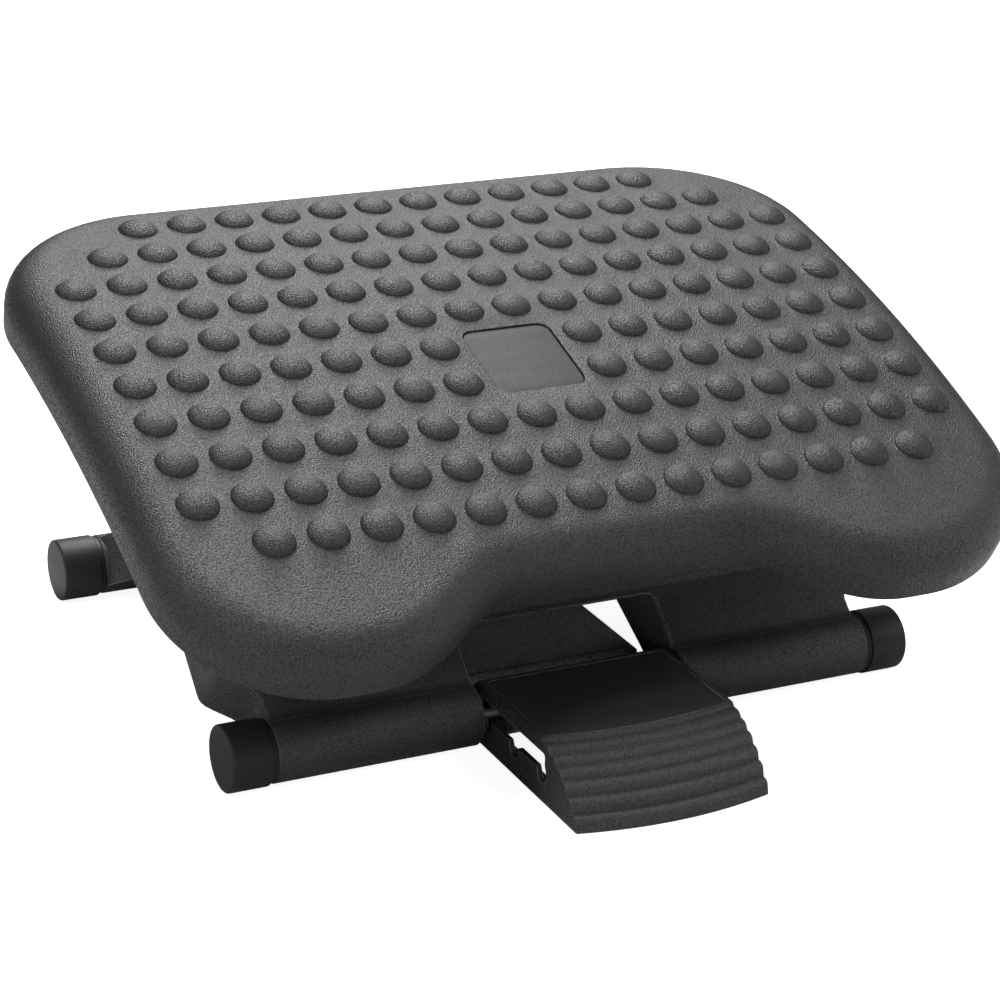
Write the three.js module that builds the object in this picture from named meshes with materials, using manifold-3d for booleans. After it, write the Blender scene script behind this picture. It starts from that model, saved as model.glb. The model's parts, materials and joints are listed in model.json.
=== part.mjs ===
// A tilting under desk footrest: an arched plastic platform with massage domes,
// on two pressed steel legs that hinge on one rod and spread apart to lower it.
// Millimetres, X to the right, Y to the back, Z up, the floor at Z = 0.
import * as THREE from 'three';
import { mergeGeometries, mergeVertices } from 'three/addons/utils/BufferGeometryUtils.js';
import Module from 'manifold-3d';

const wasm = await Module();
wasm.setup();

// Gaps and overruns shared by all pieces
const seatGap = 0.3;
const runningGap = 0.3;
const overrun = 2;
const sameLine = 0.1;

// Platform, measured along its arched top from the centre of the dome grid
const deckHalfWidth = 225;
const deckRear = 163;
const lobeFront = 198;
const notchFront = 161;
const notchHalfFlat = 58;
const lobeReach = 85;
const rearCorner = 88;
const frontCorner = 74;
const archRadius = 889;
const skirtDepth = 30;
const deckWall = 3;
const edgeRound = 20;
const deckTilt = THREE.MathUtils.degToRad(16.24);
const gridCentreBack = 94;
const gridCentreHeight = 177;
const notchBendShares = [0.3, 0.5];

// Massage domes, and how many are left off at each end of every row, front row first
const domeMargin = 30;
const domePitchY = 28.4;
const domeRadius = 10.2;
const domeHeight = 5;
const domeSink = 0.6;
const domeShoulderShares = [0.66, 0.68];
const domeColumns = 16;
const domesLeftOffCounts = [1, 0, 0, 0, 0, 0, 0, 0, 1, 2];
const rowsBeforeBadgeCount = 3;
const domePitchX = (deckHalfWidth - domeMargin) / ((domeColumns - 1) / 2);

// Bare plate let into the platform
const badgeWidth = 47;
const badgeLength = 50;
const badgeCorner = 6;
const badgeThickness = 1.6;
const badgeRim = 3;
const badgePadDepth = 5;

// Ribs and screw bosses under the platform
const ribDepth = 13;
const ribWall = 2.4;
const ribSpacingX = 72;
const ribSpacingY = 58;
const deckBossRadius = 5.5;
const deckBossDepth = 18;

// Legs: a rolled tube along the foot and a flat sheet up to the hinge rod
const legSpread = 236.5;
const legSlope = THREE.MathUtils.degToRad(41.8);
const tubeRadius = 15.6;
const sheet = 1.8;
const tubeHalfLength = 161;
const sheetOffset = 11;
const creaseRound = 8;
const joggleStart = 44.5;
const joggleRun = 3;
const joggleRise = 1.6;
const cutoutHalf = 57;
const cutoutTop = 41.5;
const cutoutCorner = 6;
const sheetEndGap = 20;
const sheetEndCorner = 10;
const flareStart = 22;
const flareEnd = 42;
const innerFlangeFoot = 26.4;
const innerFlangeHead = 57.3;
const innerFlangeTop = 63;
const innerFlangeRise = 19.9;
const innerFlangeDepth = 27.4;
const flangeNose = 15;
const flangeNoseHeight = 7.5;
const flangeHeel = 42;
const flangeHeelRound = 7;
const flangeTaperStart = 92;

// What differs between the two legs
const frontLegHalfWidth = 176;
const legStep = 26;
const frontLegSizes = { halfWidth: frontLegHalfWidth, flangeDepth: 28, earRadius: 17 };
const rearLegSizes = { halfWidth: frontLegHalfWidth - legStep, flangeDepth: 19, earRadius: 15 };

// End caps
const capRadius = 16.25;
const capLength = 20;
const capEdge = 1;
const capGroove = 2.8;
const capPlug = 13;
const capWall = 2.3;

// Hinge rod and what sits on it
const rodRadius = 5;
const rodOverhang = 5;
const retainerRadius = 8.5;
const retainerLength = 3.4;
const retainerDome = 1.2;
const spacerRadius = 8;
const washerRadius = 9.5;

// Brackets that carry the platform on the rod
const bracketInset = 22;
const bracketCentre = rearLegSizes.halfWidth - bracketInset;
const bracketHalfWidth = 12;
const bracketSheet = 2.5;
const bracketHalfBase = 26;
const bracketEar = 12;
const bracketScrewReach = 17;

// Pedal with its toothed slots
const pedalHalfWidth = 51.3;
const pedalWall = 2.6;
const pedalHeight = 32;
const pedalRoof = 4.6;
const pedalRear = 16;
const pedalRearStep = 20;
const pedalTopRear = 2;
const pedalTopFront = 64;
const pedalBend = [88, 27];
const pedalToe = 104;
const pedalBulge = 6.5;
const ribCount = 7;
const ribLean = 1.6;
const pedalSections = 10;
const pedalToeWall = 12;
const pedalToeLean = 4;
const coverBorder = 3.4;
const coverThickness = 1.8;
const coverCorner = 2;
const pocketPitch = 28.5;
const pocketCount = 3;
const pocketLead = 1;
const pocketHeight = 14;
const pocketHalfWidth = 4.4;
const pocketLean = THREE.MathUtils.degToRad(25);
const trackLow = 15.9;
const trackHigh = 25.1;
const trackRear = 1.5;
const trackRound = 2;

// Lock pin, set off from the front tube's axis
const lockPinRadius = 3;
const lockPinBack = -8;
const lockPinRise = 3;
const lockRetainerRadius = 4.8;

// Tie between the pedal and the rear tube
const tieHalfWidth = 50.5;
const tieTop = 21;
const tieSheet = 1.8;
const tieFloor = 2.2;
const tieFrontMargin = 6;
const tieFloorHalfWidth = 45;
const tieStepStart = 18;
const tieStepRun = 9;
const tieLap = 3.6;
const tieLip = 13;
const tieWebEnd = 20;
const tieEar = 9;
const pivotPinRadius = 4;
const pivotSpacerRadius = 7.5;
const pivotRetainerRadius = 8;
const pinRetainerLength = 2.4;
const pinRetainerDome = 0.9;

// Screws
const screwShank = 1.9;
const screwHead = 3.6;
const screwHeadLength = 1.5;
const screwLength = 10;
const driveRadius = 1.6;
const driveDepth = 0.8;
const driveSides = 6;
const rackBossRadius = 4.4;
const rackBossX = 30;
const rackBossFront = -84;
const rackBossRear = 9.6;

// Facets
const roundSides = 18;
const smallSides = 10;
const domeSides = 6;
const cornerSteps = 5;
const arcSteps = 3;
const bendSteps = 5;
const edgeSteps = 3;
const longRibSteps = 6;

const acrossBasis = new THREE.Matrix4().makeBasis(
  new THREE.Vector3(0, 1, 0),
  new THREE.Vector3(0, 0, 1),
  new THREE.Vector3(1, 0, 0),
);

function material(color, roughness, metalness = 0) {
  return new THREE.MeshStandardMaterial({ color, roughness, metalness });
}

const plasticDeck = material(0x3a3a3b, 0.72);
const plasticSmooth = material(0x232324, 0.45);
const plasticBadge = material(0x303031, 0.5);
const nylon = material(0x1b1b1c, 0.6);
const paintedSteel = material(0x252526, 0.6, 0.3);
const plainSteel = material(0x9a9c9e, 0.35, 1);

// Solids

function solidOf(geometry) {
  const bare = geometry.index ? geometry.toNonIndexed() : geometry.clone();
  bare.deleteAttribute('normal');
  bare.deleteAttribute('uv');
  const merged = mergeVertices(bare);
  return new wasm.Manifold(new wasm.Mesh({
    numProp: 3,
    vertProperties: new Float32Array(merged.attributes.position.array),
    triVerts: new Uint32Array(merged.index.array),
  }));
}

function geometryOf(solid) {
  const mesh = solid.getMesh();
  const geometry = new THREE.BufferGeometry();
  geometry.setAttribute('position', new THREE.BufferAttribute(mesh.vertProperties, mesh.numProp));
  geometry.setIndex(new THREE.BufferAttribute(mesh.triVerts, 1));
  return geometry;
}

function joined(...solids) {
  return solids.reduce((sum, piece) => sum.add(piece));
}

function piece(name, shape, material) {
  const geometry = shape.isBufferGeometry ? shape : geometryOf(shape);
  geometry.computeVertexNormals();
  const mesh = new THREE.Mesh(geometry, material);
  mesh.name = name;
  return mesh;
}

function at(object, x, y, z) {
  object.position.set(x, y, z);
  return object;
}

// A shape drawn in (Y, Z), carried along X
function across(shape, fromX, toX, curveSegments = smallSides) {
  const geometry = new THREE.ExtrudeGeometry(shape, {
    depth: toX - fromX,
    bevelEnabled: false,
    curveSegments,
  });
  return geometry.applyMatrix4(acrossBasis).translate(fromX, 0, 0);
}

// A shape drawn in (X, Y), carried along Z
function upward(shape, fromZ, toZ, curveSegments = smallSides) {
  const geometry = new THREE.ExtrudeGeometry(shape, {
    depth: toZ - fromZ,
    bevelEnabled: false,
    curveSegments,
  });
  return geometry.translate(0, 0, fromZ);
}

function polygon(points) {
  return new THREE.Shape(points.map(([u, v]) => new THREE.Vector2(u, v)));
}

function disc(u, v, radius) {
  const shape = new THREE.Shape();
  shape.absarc(u, v, radius, 0, 2 * Math.PI);
  return shape;
}

function roundedRectangle(halfWidth, halfLength, corner) {
  const shape = new THREE.Shape();
  const x = halfWidth - corner;
  const y = halfLength - corner;
  shape.absarc(x, y, corner, 0, Math.PI / 2);
  shape.absarc(-x, y, corner, Math.PI / 2, Math.PI);
  shape.absarc(-x, -y, corner, Math.PI, 1.5 * Math.PI);
  shape.absarc(x, -y, corner, 1.5 * Math.PI, 2 * Math.PI);
  return shape;
}

// A polygon whose corner at each given index is replaced by an arc-like curve
function softened(points, cuts) {
  const shape = new THREE.Shape();
  points.forEach((point, index) => {
    const corner = new THREE.Vector2(...point);
    const cut = cuts[index] ?? 0;
    const before = new THREE.Vector2(...points.at(index - 1));
    const after = new THREE.Vector2(...points[(index + 1) % points.length]);
    const entry = corner.clone().add(before.sub(corner).setLength(cut));
    const exit = corner.clone().add(after.sub(corner).setLength(cut));
    if (index === 0) {
      shape.moveTo(entry.x, entry.y);
    } else {
      shape.lineTo(entry.x, entry.y);
    }
    if (cut > 0) {
      shape.quadraticCurveTo(corner.x, corner.y, exit.x, exit.y);
    }
  });
  return shape;
}

// A profile of [radius, place] turned about the X axis
function turnedAcross(profile, sides = roundSides) {
  const points = profile.map(([radius, place]) => new THREE.Vector2(radius, place));
  return new THREE.LatheGeometry(points, sides).rotateZ(-Math.PI / 2);
}

// A profile of [radius, place] turned about the Z axis
function turnedUpward(profile, sides = smallSides) {
  const points = profile.map(([radius, place]) => new THREE.Vector2(radius, place));
  return new THREE.LatheGeometry(points, sides).rotateX(Math.PI / 2);
}

// Radius at the corners of a facetted hole whose flats clear the given radius
function clearing(radius, gap = runningGap) {
  return (radius + gap) / Math.cos(Math.PI / smallSides);
}

// A plain or bored round bar along X
function bar(radius, fromX, toX, bore = 0, sides = smallSides) {
  const profile = [[bore, fromX], [radius, fromX], [radius, toX], [bore, toX]];
  if (bore > 0) {
    profile.push([bore, fromX]);
  }
  return turnedAcross(profile, sides);
}

const screwBore = clearing(screwShank);

// Platform

// Place on the arch: x across, along the top from the grid's centre, height above the top
function onArch(x, along, height) {
  const angle = along / archRadius;
  return [
    x,
    (archRadius + height) * Math.sin(angle),
    (archRadius + height) * Math.cos(angle) - archRadius,
  ];
}

function lerp(from, to, share) {
  return from + (to - from) * share;
}

// Strips of the top meet on lines between the rows of domes
const stripLines = [-4, -3, -2, -1, 0, 1, 2, 3, 4].map((line) => line * domePitchY);

// Strip lines that cross the straight part of a side
function alongSide() {
  const low = -lobeFront + frontCorner;
  const high = deckRear - rearCorner;
  return stripLines.filter((line) => line > low && line < high);
}

// Angles of the rear corner: where the strip lines cross it inside the rounded edge, then the rest
function rearAngles() {
  const centre = deckRear - rearCorner;
  const crossings = stripLines
    .map((line) => (line - centre) / (rearCorner - edgeRound))
    .filter((sine) => sine > 0 && sine < 1)
    .map((sine) => Math.asin(sine));
  const last = crossings.at(-1) ?? 0;
  const rest = Array.from({ length: cornerSteps }, (_, step) => (
    lerp(last, Math.PI / 2, (step + 1) / cornerSteps)
  ));
  return [...crossings, ...rest];
}

// Bend from a lobe into the notch, on the left, set inwards square to itself
function notchBend(inset) {
  const [lobeShare, notchShare] = notchBendShares;
  const lobeInner = deckHalfWidth - lobeReach;
  const run = lobeInner - notchHalfFlat;
  const curve = new THREE.CubicBezierCurve(
    new THREE.Vector2(-lobeInner, -lobeFront),
    new THREE.Vector2(-lobeInner + run * notchShare, -lobeFront),
    new THREE.Vector2(-notchHalfFlat - run * lobeShare, -notchFront),
    new THREE.Vector2(-notchHalfFlat, -notchFront),
  );
  return Array.from({ length: bendSteps + 1 }, (_, step) => {
    const point = curve.getPoint(step / bendSteps);
    const tangent = curve.getTangent(step / bendSteps);
    return [point.x - tangent.y * inset, point.y + tangent.x * inset];
  });
}

// Left half of the outline, from the middle of the notch round to the middle of the rear edge
function leftOutline(inset) {
  const front = [-deckHalfWidth + frontCorner, -lobeFront + frontCorner, frontCorner - inset];
  const rear = [-deckHalfWidth + rearCorner, deckRear - rearCorner, rearCorner - inset];
  const onCorner = ([x, along, radius], angle) => (
    [x - radius * Math.cos(angle), along + radius * Math.sin(angle)]
  );
  const frontAngles = Array.from({ length: cornerSteps + 1 }, (_, step) => (
    lerp(-Math.PI / 2, 0, step / cornerSteps)
  ));
  return [
    ...notchBend(inset).reverse(),
    ...frontAngles.map((angle) => onCorner(front, angle)),
    ...alongSide().map((line) => [-deckHalfWidth + inset, line]),
    onCorner(rear, 0),
    ...rearAngles().map((angle) => onCorner(rear, angle)),
  ];
}

// The whole outline, counter-clockwise seen from above
function outlineRing(inset) {
  const left = leftOutline(inset);
  const right = left.map(([x, along]) => [-x, along]);
  return [...right, ...left.reverse()];
}

// The top's outline cut into strips, each a list of [x, along] corners
function topStrips() {
  const left = leftOutline(edgeRound);
  const cuts = stripLines
    .map((line) => left.findIndex(([, along]) => Math.abs(along - line) < sameLine))
    .filter((index) => index > 0);
  const stops = [0, ...cuts, left.length - 1];
  return stops.slice(1).map((stop, index) => {
    const side = left.slice(stops[index], stop + 1);
    return [...side.map(([x, along]) => [-x, along]), ...side.reverse()];
  });
}

function quad(target, a, b, c, d) {
  target.push(...a, ...b, ...c, ...a, ...c, ...d);
}

// Closed block under the arched top: rounded upper edge, flat lower edge
function archedBlock(inset, top, bottom, round) {
  const faces = [];
  const rings = [outlineRing(inset).map(([x, along]) => onArch(x, along, bottom))];
  for (let step = 0; step <= edgeSteps; step += 1) {
    const angle = (step / edgeSteps) * (Math.PI / 2);
    const ring = outlineRing(inset + round * (1 - Math.cos(angle)));
    rings.push(ring.map(([x, along]) => onArch(x, along, top - round * (1 - Math.sin(angle)))));
  }
  for (let level = 0; level < rings.length - 1; level += 1) {
    rings[level].forEach((point, index) => {
      const next = (index + 1) % rings[level].length;
      quad(faces, point, rings[level][next], rings[level + 1][next], rings[level + 1][index]);
    });
  }
  const upper = rings.at(-1);
  const lower = rings[0];
  const flat = outlineRing(edgeRound);
  topStrips().forEach((strip) => {
    const outline = strip.map(([x, along]) => new THREE.Vector2(x, along));
    const places = strip.map(([x, along]) => (
      flat.findIndex(([flatX, flatAlong]) => flatX === x && flatAlong === along)
    ));
    THREE.ShapeUtils.triangulateShape(outline, []).forEach(([a, b, c]) => {
      faces.push(...upper[places[a]], ...upper[places[b]], ...upper[places[c]]);
      faces.push(...lower[places[c]], ...lower[places[b]], ...lower[places[a]]);
    });
  });
  const geometry = new THREE.BufferGeometry();
  geometry.setAttribute('position', new THREE.Float32BufferAttribute(faces, 3));
  return geometry;
}

function domeGeometry(x, along) {
  const [shoulderRadiusShare, shoulderHeightShare] = domeShoulderShares;
  const ring = (radius, height) => Array.from({ length: domeSides }, (_, side) => {
    const angle = (2 * Math.PI * side) / domeSides;
    return onArch(x + radius * Math.cos(angle), along + radius * Math.sin(angle), height);
  });
  const base = ring(domeRadius, -domeSink);
  const shoulder = ring(domeRadius * shoulderRadiusShare, domeHeight * shoulderHeightShare);
  const crown = onArch(x, along, domeHeight);
  const root = onArch(x, along, -domeSink);
  const faces = [];
  base.forEach((point, side) => {
    const next = (side + 1) % domeSides;
    quad(faces, point, base[next], shoulder[next], shoulder[side]);
    faces.push(...shoulder[side], ...shoulder[next], ...crown);
    faces.push(...base[next], ...point, ...root);
  });
  const geometry = new THREE.BufferGeometry();
  geometry.setAttribute('position', new THREE.Float32BufferAttribute(faces, 3));
  return geometry;
}

function rowAlong(row) {
  return (row - (domesLeftOffCounts.length - 1) / 2) * domePitchY;
}

const badgeRows = [rowsBeforeBadgeCount, rowsBeforeBadgeCount + 1];
const badgeAlong = (rowAlong(badgeRows[0]) + rowAlong(badgeRows[1])) / 2;

function allDomes() {
  const domes = [];
  domesLeftOffCounts.forEach((leftOff, row) => {
    for (let column = leftOff; column < domeColumns - leftOff; column += 1) {
      const x = (column - (domeColumns - 1) / 2) * domePitchX;
      const underBadge = badgeRows.includes(row) && Math.abs(x) < domePitchX;
      if (!underBadge) {
        domes.push(domeGeometry(x, rowAlong(row)));
      }
    }
  });
  return mergeGeometries(domes);
}

// A rib that follows the arch, between two places across and two along
function archedRib(fromX, toX, fromAlong, toAlong, depths, steps) {
  const [top, bottom] = depths;
  const section = (along) => [
    onArch(fromX, along, bottom),
    onArch(toX, along, bottom),
    onArch(toX, along, top),
    onArch(fromX, along, top),
  ];
  const sections = Array.from({ length: steps + 1 }, (_, step) => (
    section(lerp(fromAlong, toAlong, step / steps))
  ));
  const faces = [];
  for (let step = 0; step < steps; step += 1) {
    const near = sections[step];
    const far = sections[step + 1];
    near.forEach((point, side) => {
      const next = (side + 1) % near.length;
      quad(faces, near[next], point, far[side], far[next]);
    });
  }
  const [a, b, c, d] = sections[0];
  quad(faces, a, b, c, d);
  const [e, f, g, h] = sections.at(-1);
  quad(faces, h, g, f, e);
  const geometry = new THREE.BufferGeometry();
  geometry.setAttribute('position', new THREE.Float32BufferAttribute(faces, 3));
  return geometry;
}

function deckRibs() {
  const depths = [-deckWall / 2, -ribDepth];
  const half = ribWall / 2;
  const ribs = [];
  for (let x = -2 * ribSpacingX; x <= 2 * ribSpacingX; x += ribSpacingX) {
    ribs.push(archedRib(x - half, x + half, -lobeFront, deckRear, depths, longRibSteps));
  }
  for (let along = -2 * ribSpacingY; along <= 2 * ribSpacingY; along += ribSpacingY) {
    ribs.push(archedRib(-deckHalfWidth, deckHalfWidth, along - half, along + half, depths, 1));
  }
  return joined(...ribs.map(solidOf));
}

// The hinge rod seen from the platform's own frame
const legLength = legSpread / 2 / Math.cos(legSlope);
const rodBack = legSpread / 2;
const rodHeight = capRadius + legLength * Math.sin(legSlope);
const rodInDeck = new THREE.Vector2(rodBack - gridCentreBack, rodHeight - gridCentreHeight)
  .rotateAround(new THREE.Vector2(0, 0), -deckTilt);
const bracketTop = -deckBossDepth - seatGap;
const bossPlaces = [-1, 1].flatMap((side) => (
  [-1, 1].map((end) => [side * bracketCentre, rodInDeck.x + end * bracketScrewReach])
));

function deckSolid() {
  const outer = solidOf(archedBlock(0, 0, -skirtDepth, edgeRound));
  const inside = edgeRound - deckWall;
  const cavity = solidOf(archedBlock(deckWall, -deckWall, -skirtDepth - overrun, inside));
  const half = deckWall / 2;
  const core = solidOf(archedBlock(half, -half, -skirtDepth, edgeRound - half));
  const ribs = deckRibs().intersect(core);
  const domes = solidOf(allDomes());
  const halfPocketX = badgeWidth / 2 + seatGap;
  const halfPocketY = badgeLength / 2 + seatGap;
  const pad = badgeFrame(upward(
    roundedRectangle(halfPocketX + badgeRim, halfPocketY + badgeRim, badgeCorner + badgeRim),
    -badgePadDepth,
    -deckWall / 2,
    arcSteps,
  ));
  const pocket = badgeFrame(upward(
    roundedRectangle(halfPocketX, halfPocketY, badgeCorner + seatGap),
    -badgeThickness - seatGap,
    overrun,
    arcSteps,
  ));
  const bosses = bossPlaces.map(([x, y]) => (
    solidOf(turnedUpward([[0, -deckBossDepth], [deckBossRadius, -deckBossDepth],
      [deckBossRadius, -deckWall / 2], [0, -deckWall / 2]]).translate(x, y, 0))
  ));
  const holes = bossPlaces.map(([x, y]) => (
    solidOf(turnedUpward([[0, -deckBossDepth - overrun], [screwBore, -deckBossDepth - overrun],
      [screwBore, -deckWall - overrun], [0, -deckWall - overrun]]).translate(x, y, 0))
  ));
  return joined(outer.subtract(cavity), ribs, solidOf(pad), domes, ...bosses)
    .subtract(solidOf(pocket))
    .subtract(joined(...holes));
}

// Turns and moves a flat geometry onto the arch at the badge's place
function badgeFrame(geometry) {
  const [, y, z] = onArch(0, badgeAlong, 0);
  return geometry.rotateX(-badgeAlong / archRadius).translate(0, y, z);
}

function badgePlate() {
  const outline = roundedRectangle(badgeWidth / 2, badgeLength / 2, badgeCorner);
  return badgeFrame(upward(outline, -badgeThickness, 0, arcSteps));
}

// U-shaped bracket: a base under two bosses and two ears down to the rod
function bracketSolid(side) {
  const low = side * bracketCentre - bracketHalfWidth;
  const high = side * bracketCentre + bracketHalfWidth;
  const [rodY, rodZ] = [rodInDeck.x, rodInDeck.y];
  const base = upward(
    roundedRectangle(bracketHalfWidth, bracketHalfBase, bracketSheet),
    bracketTop - bracketSheet,
    bracketTop,
    arcSteps,
  ).translate(side * bracketCentre, rodY, 0);
  const outline = new THREE.Shape();
  outline.moveTo(rodY + bracketHalfBase - bracketSheet, bracketTop - bracketSheet / 2);
  outline.lineTo(rodY - bracketHalfBase + bracketSheet, bracketTop - bracketSheet / 2);
  outline.absarc(rodY, rodZ, bracketEar, Math.PI, 2 * Math.PI);
  const bore = bar(clearing(rodRadius), low - overrun, high + overrun).translate(0, rodY, rodZ);
  const holes = [-1, 1].map((end) => solidOf(turnedUpward([
    [0, bracketTop - bracketSheet - overrun],
    [screwBore, bracketTop - bracketSheet - overrun],
    [screwBore, bracketTop + overrun],
    [0, bracketTop + overrun],
  ]).translate(side * bracketCentre, rodY + end * bracketScrewReach, 0)));
  return joined(
    solidOf(base),
    solidOf(across(outline, low, low + bracketSheet)),
    solidOf(across(outline, high - bracketSheet, high)),
  ).subtract(solidOf(bore)).subtract(joined(...holes));
}

// Pan-head screw whose head sits below the plane Z = 0, shank upwards
function screwSolid() {
  const headLow = -seatGap - screwHeadLength;
  const body = turnedUpward([
    [0, headLow],
    [screwHead - screwHeadLength / 2, headLow],
    [screwHead, -seatGap - screwHeadLength / 2],
    [screwHead, -seatGap],
    [screwShank, -seatGap],
    [screwShank, screwLength - screwShank],
    [0, screwLength],
  ]);
  const drive = turnedUpward([
    [0, headLow - overrun],
    [driveRadius, headLow - overrun],
    [driveRadius, headLow + driveDepth],
    [0, headLow + driveDepth],
  ], driveSides);
  return solidOf(body).subtract(solidOf(drive));
}

// Legs, drawn with Y up the leg from the tube's axis and Z out of its face

function sheetSection() {
  const end = legLength - sheetEndGap;
  const outer = sheetOffset;
  const inner = sheetOffset - sheet;
  const creaseHeight = sheetOffset + creaseRound;
  const reach = tubeRadius + creaseRound;
  const creaseAlong = Math.sqrt(reach ** 2 - creaseHeight ** 2);
  const share = tubeRadius / reach;
  const shape = new THREE.Shape();
  shape.moveTo(creaseAlong * share, creaseHeight * share);
  shape.absarc(creaseAlong, creaseHeight, creaseRound,
    Math.atan2(-creaseHeight, -creaseAlong), -Math.PI / 2, false);
  shape.lineTo(joggleStart, outer);
  shape.lineTo(joggleStart + joggleRun, outer + joggleRise);
  shape.lineTo(end, outer + joggleRise);
  shape.lineTo(end, inner + joggleRise);
  shape.lineTo(joggleStart + joggleRun + sheet / 2, inner + joggleRise);
  shape.lineTo(joggleStart + sheet / 2, inner);
  shape.lineTo(Math.sqrt((tubeRadius - sheet / 2) ** 2 - inner ** 2), inner);
  return shape;
}

function sheetOutline(halfWidth) {
  const end = legLength - sheetEndGap;
  const middle = lerp(flareStart, flareEnd, 1 / 2);
  const shape = new THREE.Shape();
  shape.moveTo(-tubeHalfLength, 0);
  shape.lineTo(tubeHalfLength, 0);
  shape.lineTo(tubeHalfLength, flareStart);
  shape.bezierCurveTo(tubeHalfLength, middle, halfWidth, middle, halfWidth, flareEnd);
  shape.lineTo(halfWidth, end - sheetEndCorner);
  const cornerX = halfWidth - sheetEndCorner;
  shape.absarc(cornerX, end - sheetEndCorner, sheetEndCorner, 0, Math.PI / 2);
  shape.absarc(-cornerX, end - sheetEndCorner, sheetEndCorner, Math.PI / 2, Math.PI);
  shape.lineTo(-halfWidth, flareEnd);
  shape.bezierCurveTo(-halfWidth, middle, -tubeHalfLength, middle, -tubeHalfLength, flareStart);
  return shape;
}

function innerFlange(side, pin) {
  const outline = polygon([
    [tubeRadius / 2, sheetOffset - sheet / 2],
    [0, -tubeRadius + sheet / 2],
    [innerFlangeFoot, -innerFlangeRise],
    [innerFlangeHead, -innerFlangeDepth],
    [innerFlangeTop, -innerFlangeRise],
    [innerFlangeTop, sheetOffset - sheet / 2],
  ]);
  const low = side < 0 ? -cutoutHalf : cutoutHalf - sheet;
  const high = low + sheet;
  const bore = bar(clearing(pin.radius), low - overrun, high + overrun)
    .translate(0, pin.along, pin.height);
  return joined(
    solidOf(across(outline, low, high)),
    solidOf(across(disc(0, 0, tubeRadius - sheet / 2), low, high, roundSides)),
  ).subtract(solidOf(bore));
}

function outerFlange(side, sizes) {
  const { halfWidth, flangeDepth, earRadius } = sizes;
  const outline = softened([
    [flareEnd - sheet, sheetOffset - sheet / 2],
    [flangeNose + sheetOffset, sheetOffset - sheet],
    [flangeNose, flangeNoseHeight],
    [flangeHeel, -flangeDepth],
    [flangeTaperStart, -flangeDepth],
    [legLength, -earRadius],
    [legLength, earRadius],
    [legLength - earRadius, sheetOffset + joggleRise - sheet / 2],
    [joggleStart + joggleRun, sheetOffset + joggleRise - sheet / 2],
  ], [0, 0, 0, flangeHeelRound, flangeHeelRound]);
  const low = side < 0 ? -halfWidth : halfWidth - sheet;
  const high = low + sheet;
  const bore = bar(clearing(rodRadius), low - overrun, high + overrun)
    .translate(0, legLength, 0);
  return joined(
    solidOf(across(outline, low, high)),
    solidOf(across(disc(legLength, 0, earRadius), low, high, roundSides)),
  ).subtract(solidOf(bore));
}

function legSolid(sizes, pin) {
  const { halfWidth } = sizes;
  const pastEnd = tubeHalfLength + overrun;
  const roll = solidOf(bar(tubeRadius, -tubeHalfLength, tubeHalfLength, 0, roundSides));
  const bore = solidOf(bar(tubeRadius - sheet, -pastEnd, pastEnd, 0, roundSides));
  const faceLow = -tubeRadius;
  const faceHigh = tubeRadius + creaseRound;
  const widest = Math.max(halfWidth, tubeHalfLength);
  const panel = solidOf(across(sheetSection(), -widest, widest, arcSteps))
    .intersect(solidOf(upward(sheetOutline(halfWidth), faceLow, faceHigh, bendSteps)));
  const window = upward(
    roundedRectangle(cutoutHalf - sheet / 2, cutoutTop, cutoutCorner),
    faceLow - overrun,
    faceHigh + overrun,
    arcSteps,
  );
  return joined(
    roll.add(panel).subtract(bore).subtract(solidOf(window)),
    innerFlange(-1, pin),
    innerFlange(1, pin),
    outerFlange(-1, sizes),
    outerFlange(1, sizes),
  );
}

// Pushed-in end cap, on the +X end; its plug is a thin sleeve inside the tube
function capGeometry() {
  const inner = tubeHalfLength + capGroove;
  const outer = inner + capLength;
  const plug = tubeRadius - sheet - seatGap;
  return turnedAcross([
    [0, outer - capWall],
    [plug - capWall, outer - capWall],
    [plug - capWall, tubeHalfLength - capPlug],
    [plug, tubeHalfLength - capPlug],
    [plug, inner],
    [capRadius, inner],
    [capRadius, outer - capEdge],
    [capRadius - capEdge, outer],
    [0, outer],
  ]);
}

// Push-on retainer for the end of a pin, open towards the pin
function retainerGeometry(radius, bore, length, dome) {
  return turnedAcross([
    [0, length - dome],
    [bore, length - dome],
    [bore, 0],
    [radius, 0],
    [radius, length - dome],
    [radius - dome, length],
    [0, length],
  ], smallSides);
}

// Pedal

// Stair of ribs down the pedal's front, as [y, z] points from the top to the floor
function ribbedFront() {
  const [bendBack, bendHeight] = pedalBend;
  const curve = new THREE.QuadraticBezierCurve(
    new THREE.Vector2(-pedalTopFront, pedalHeight),
    new THREE.Vector2(-bendBack, bendHeight),
    new THREE.Vector2(-pedalToe, 0),
  );
  const points = [[-pedalTopFront, pedalHeight]];
  for (let rib = 1; rib <= ribCount; rib += 1) {
    const above = curve.getPoint((rib - 1) / ribCount);
    const below = curve.getPoint(rib / ribCount);
    points.push([above.x - ribLean, below.y]);
    if (rib < ribCount) {
      points.push([below.x, below.y]);
    }
  }
  return points;
}

function pedalSection(x) {
  const bulge = pedalBulge * (1 - (x / pedalHalfWidth) ** 2);
  const front = ribbedFront().map(([y, z]) => [y - bulge, z]);
  return [
    [pedalRear, 0],
    [pedalRear, pedalRearStep],
    [pedalTopRear, pedalHeight],
    ...front,
  ];
}

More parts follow.
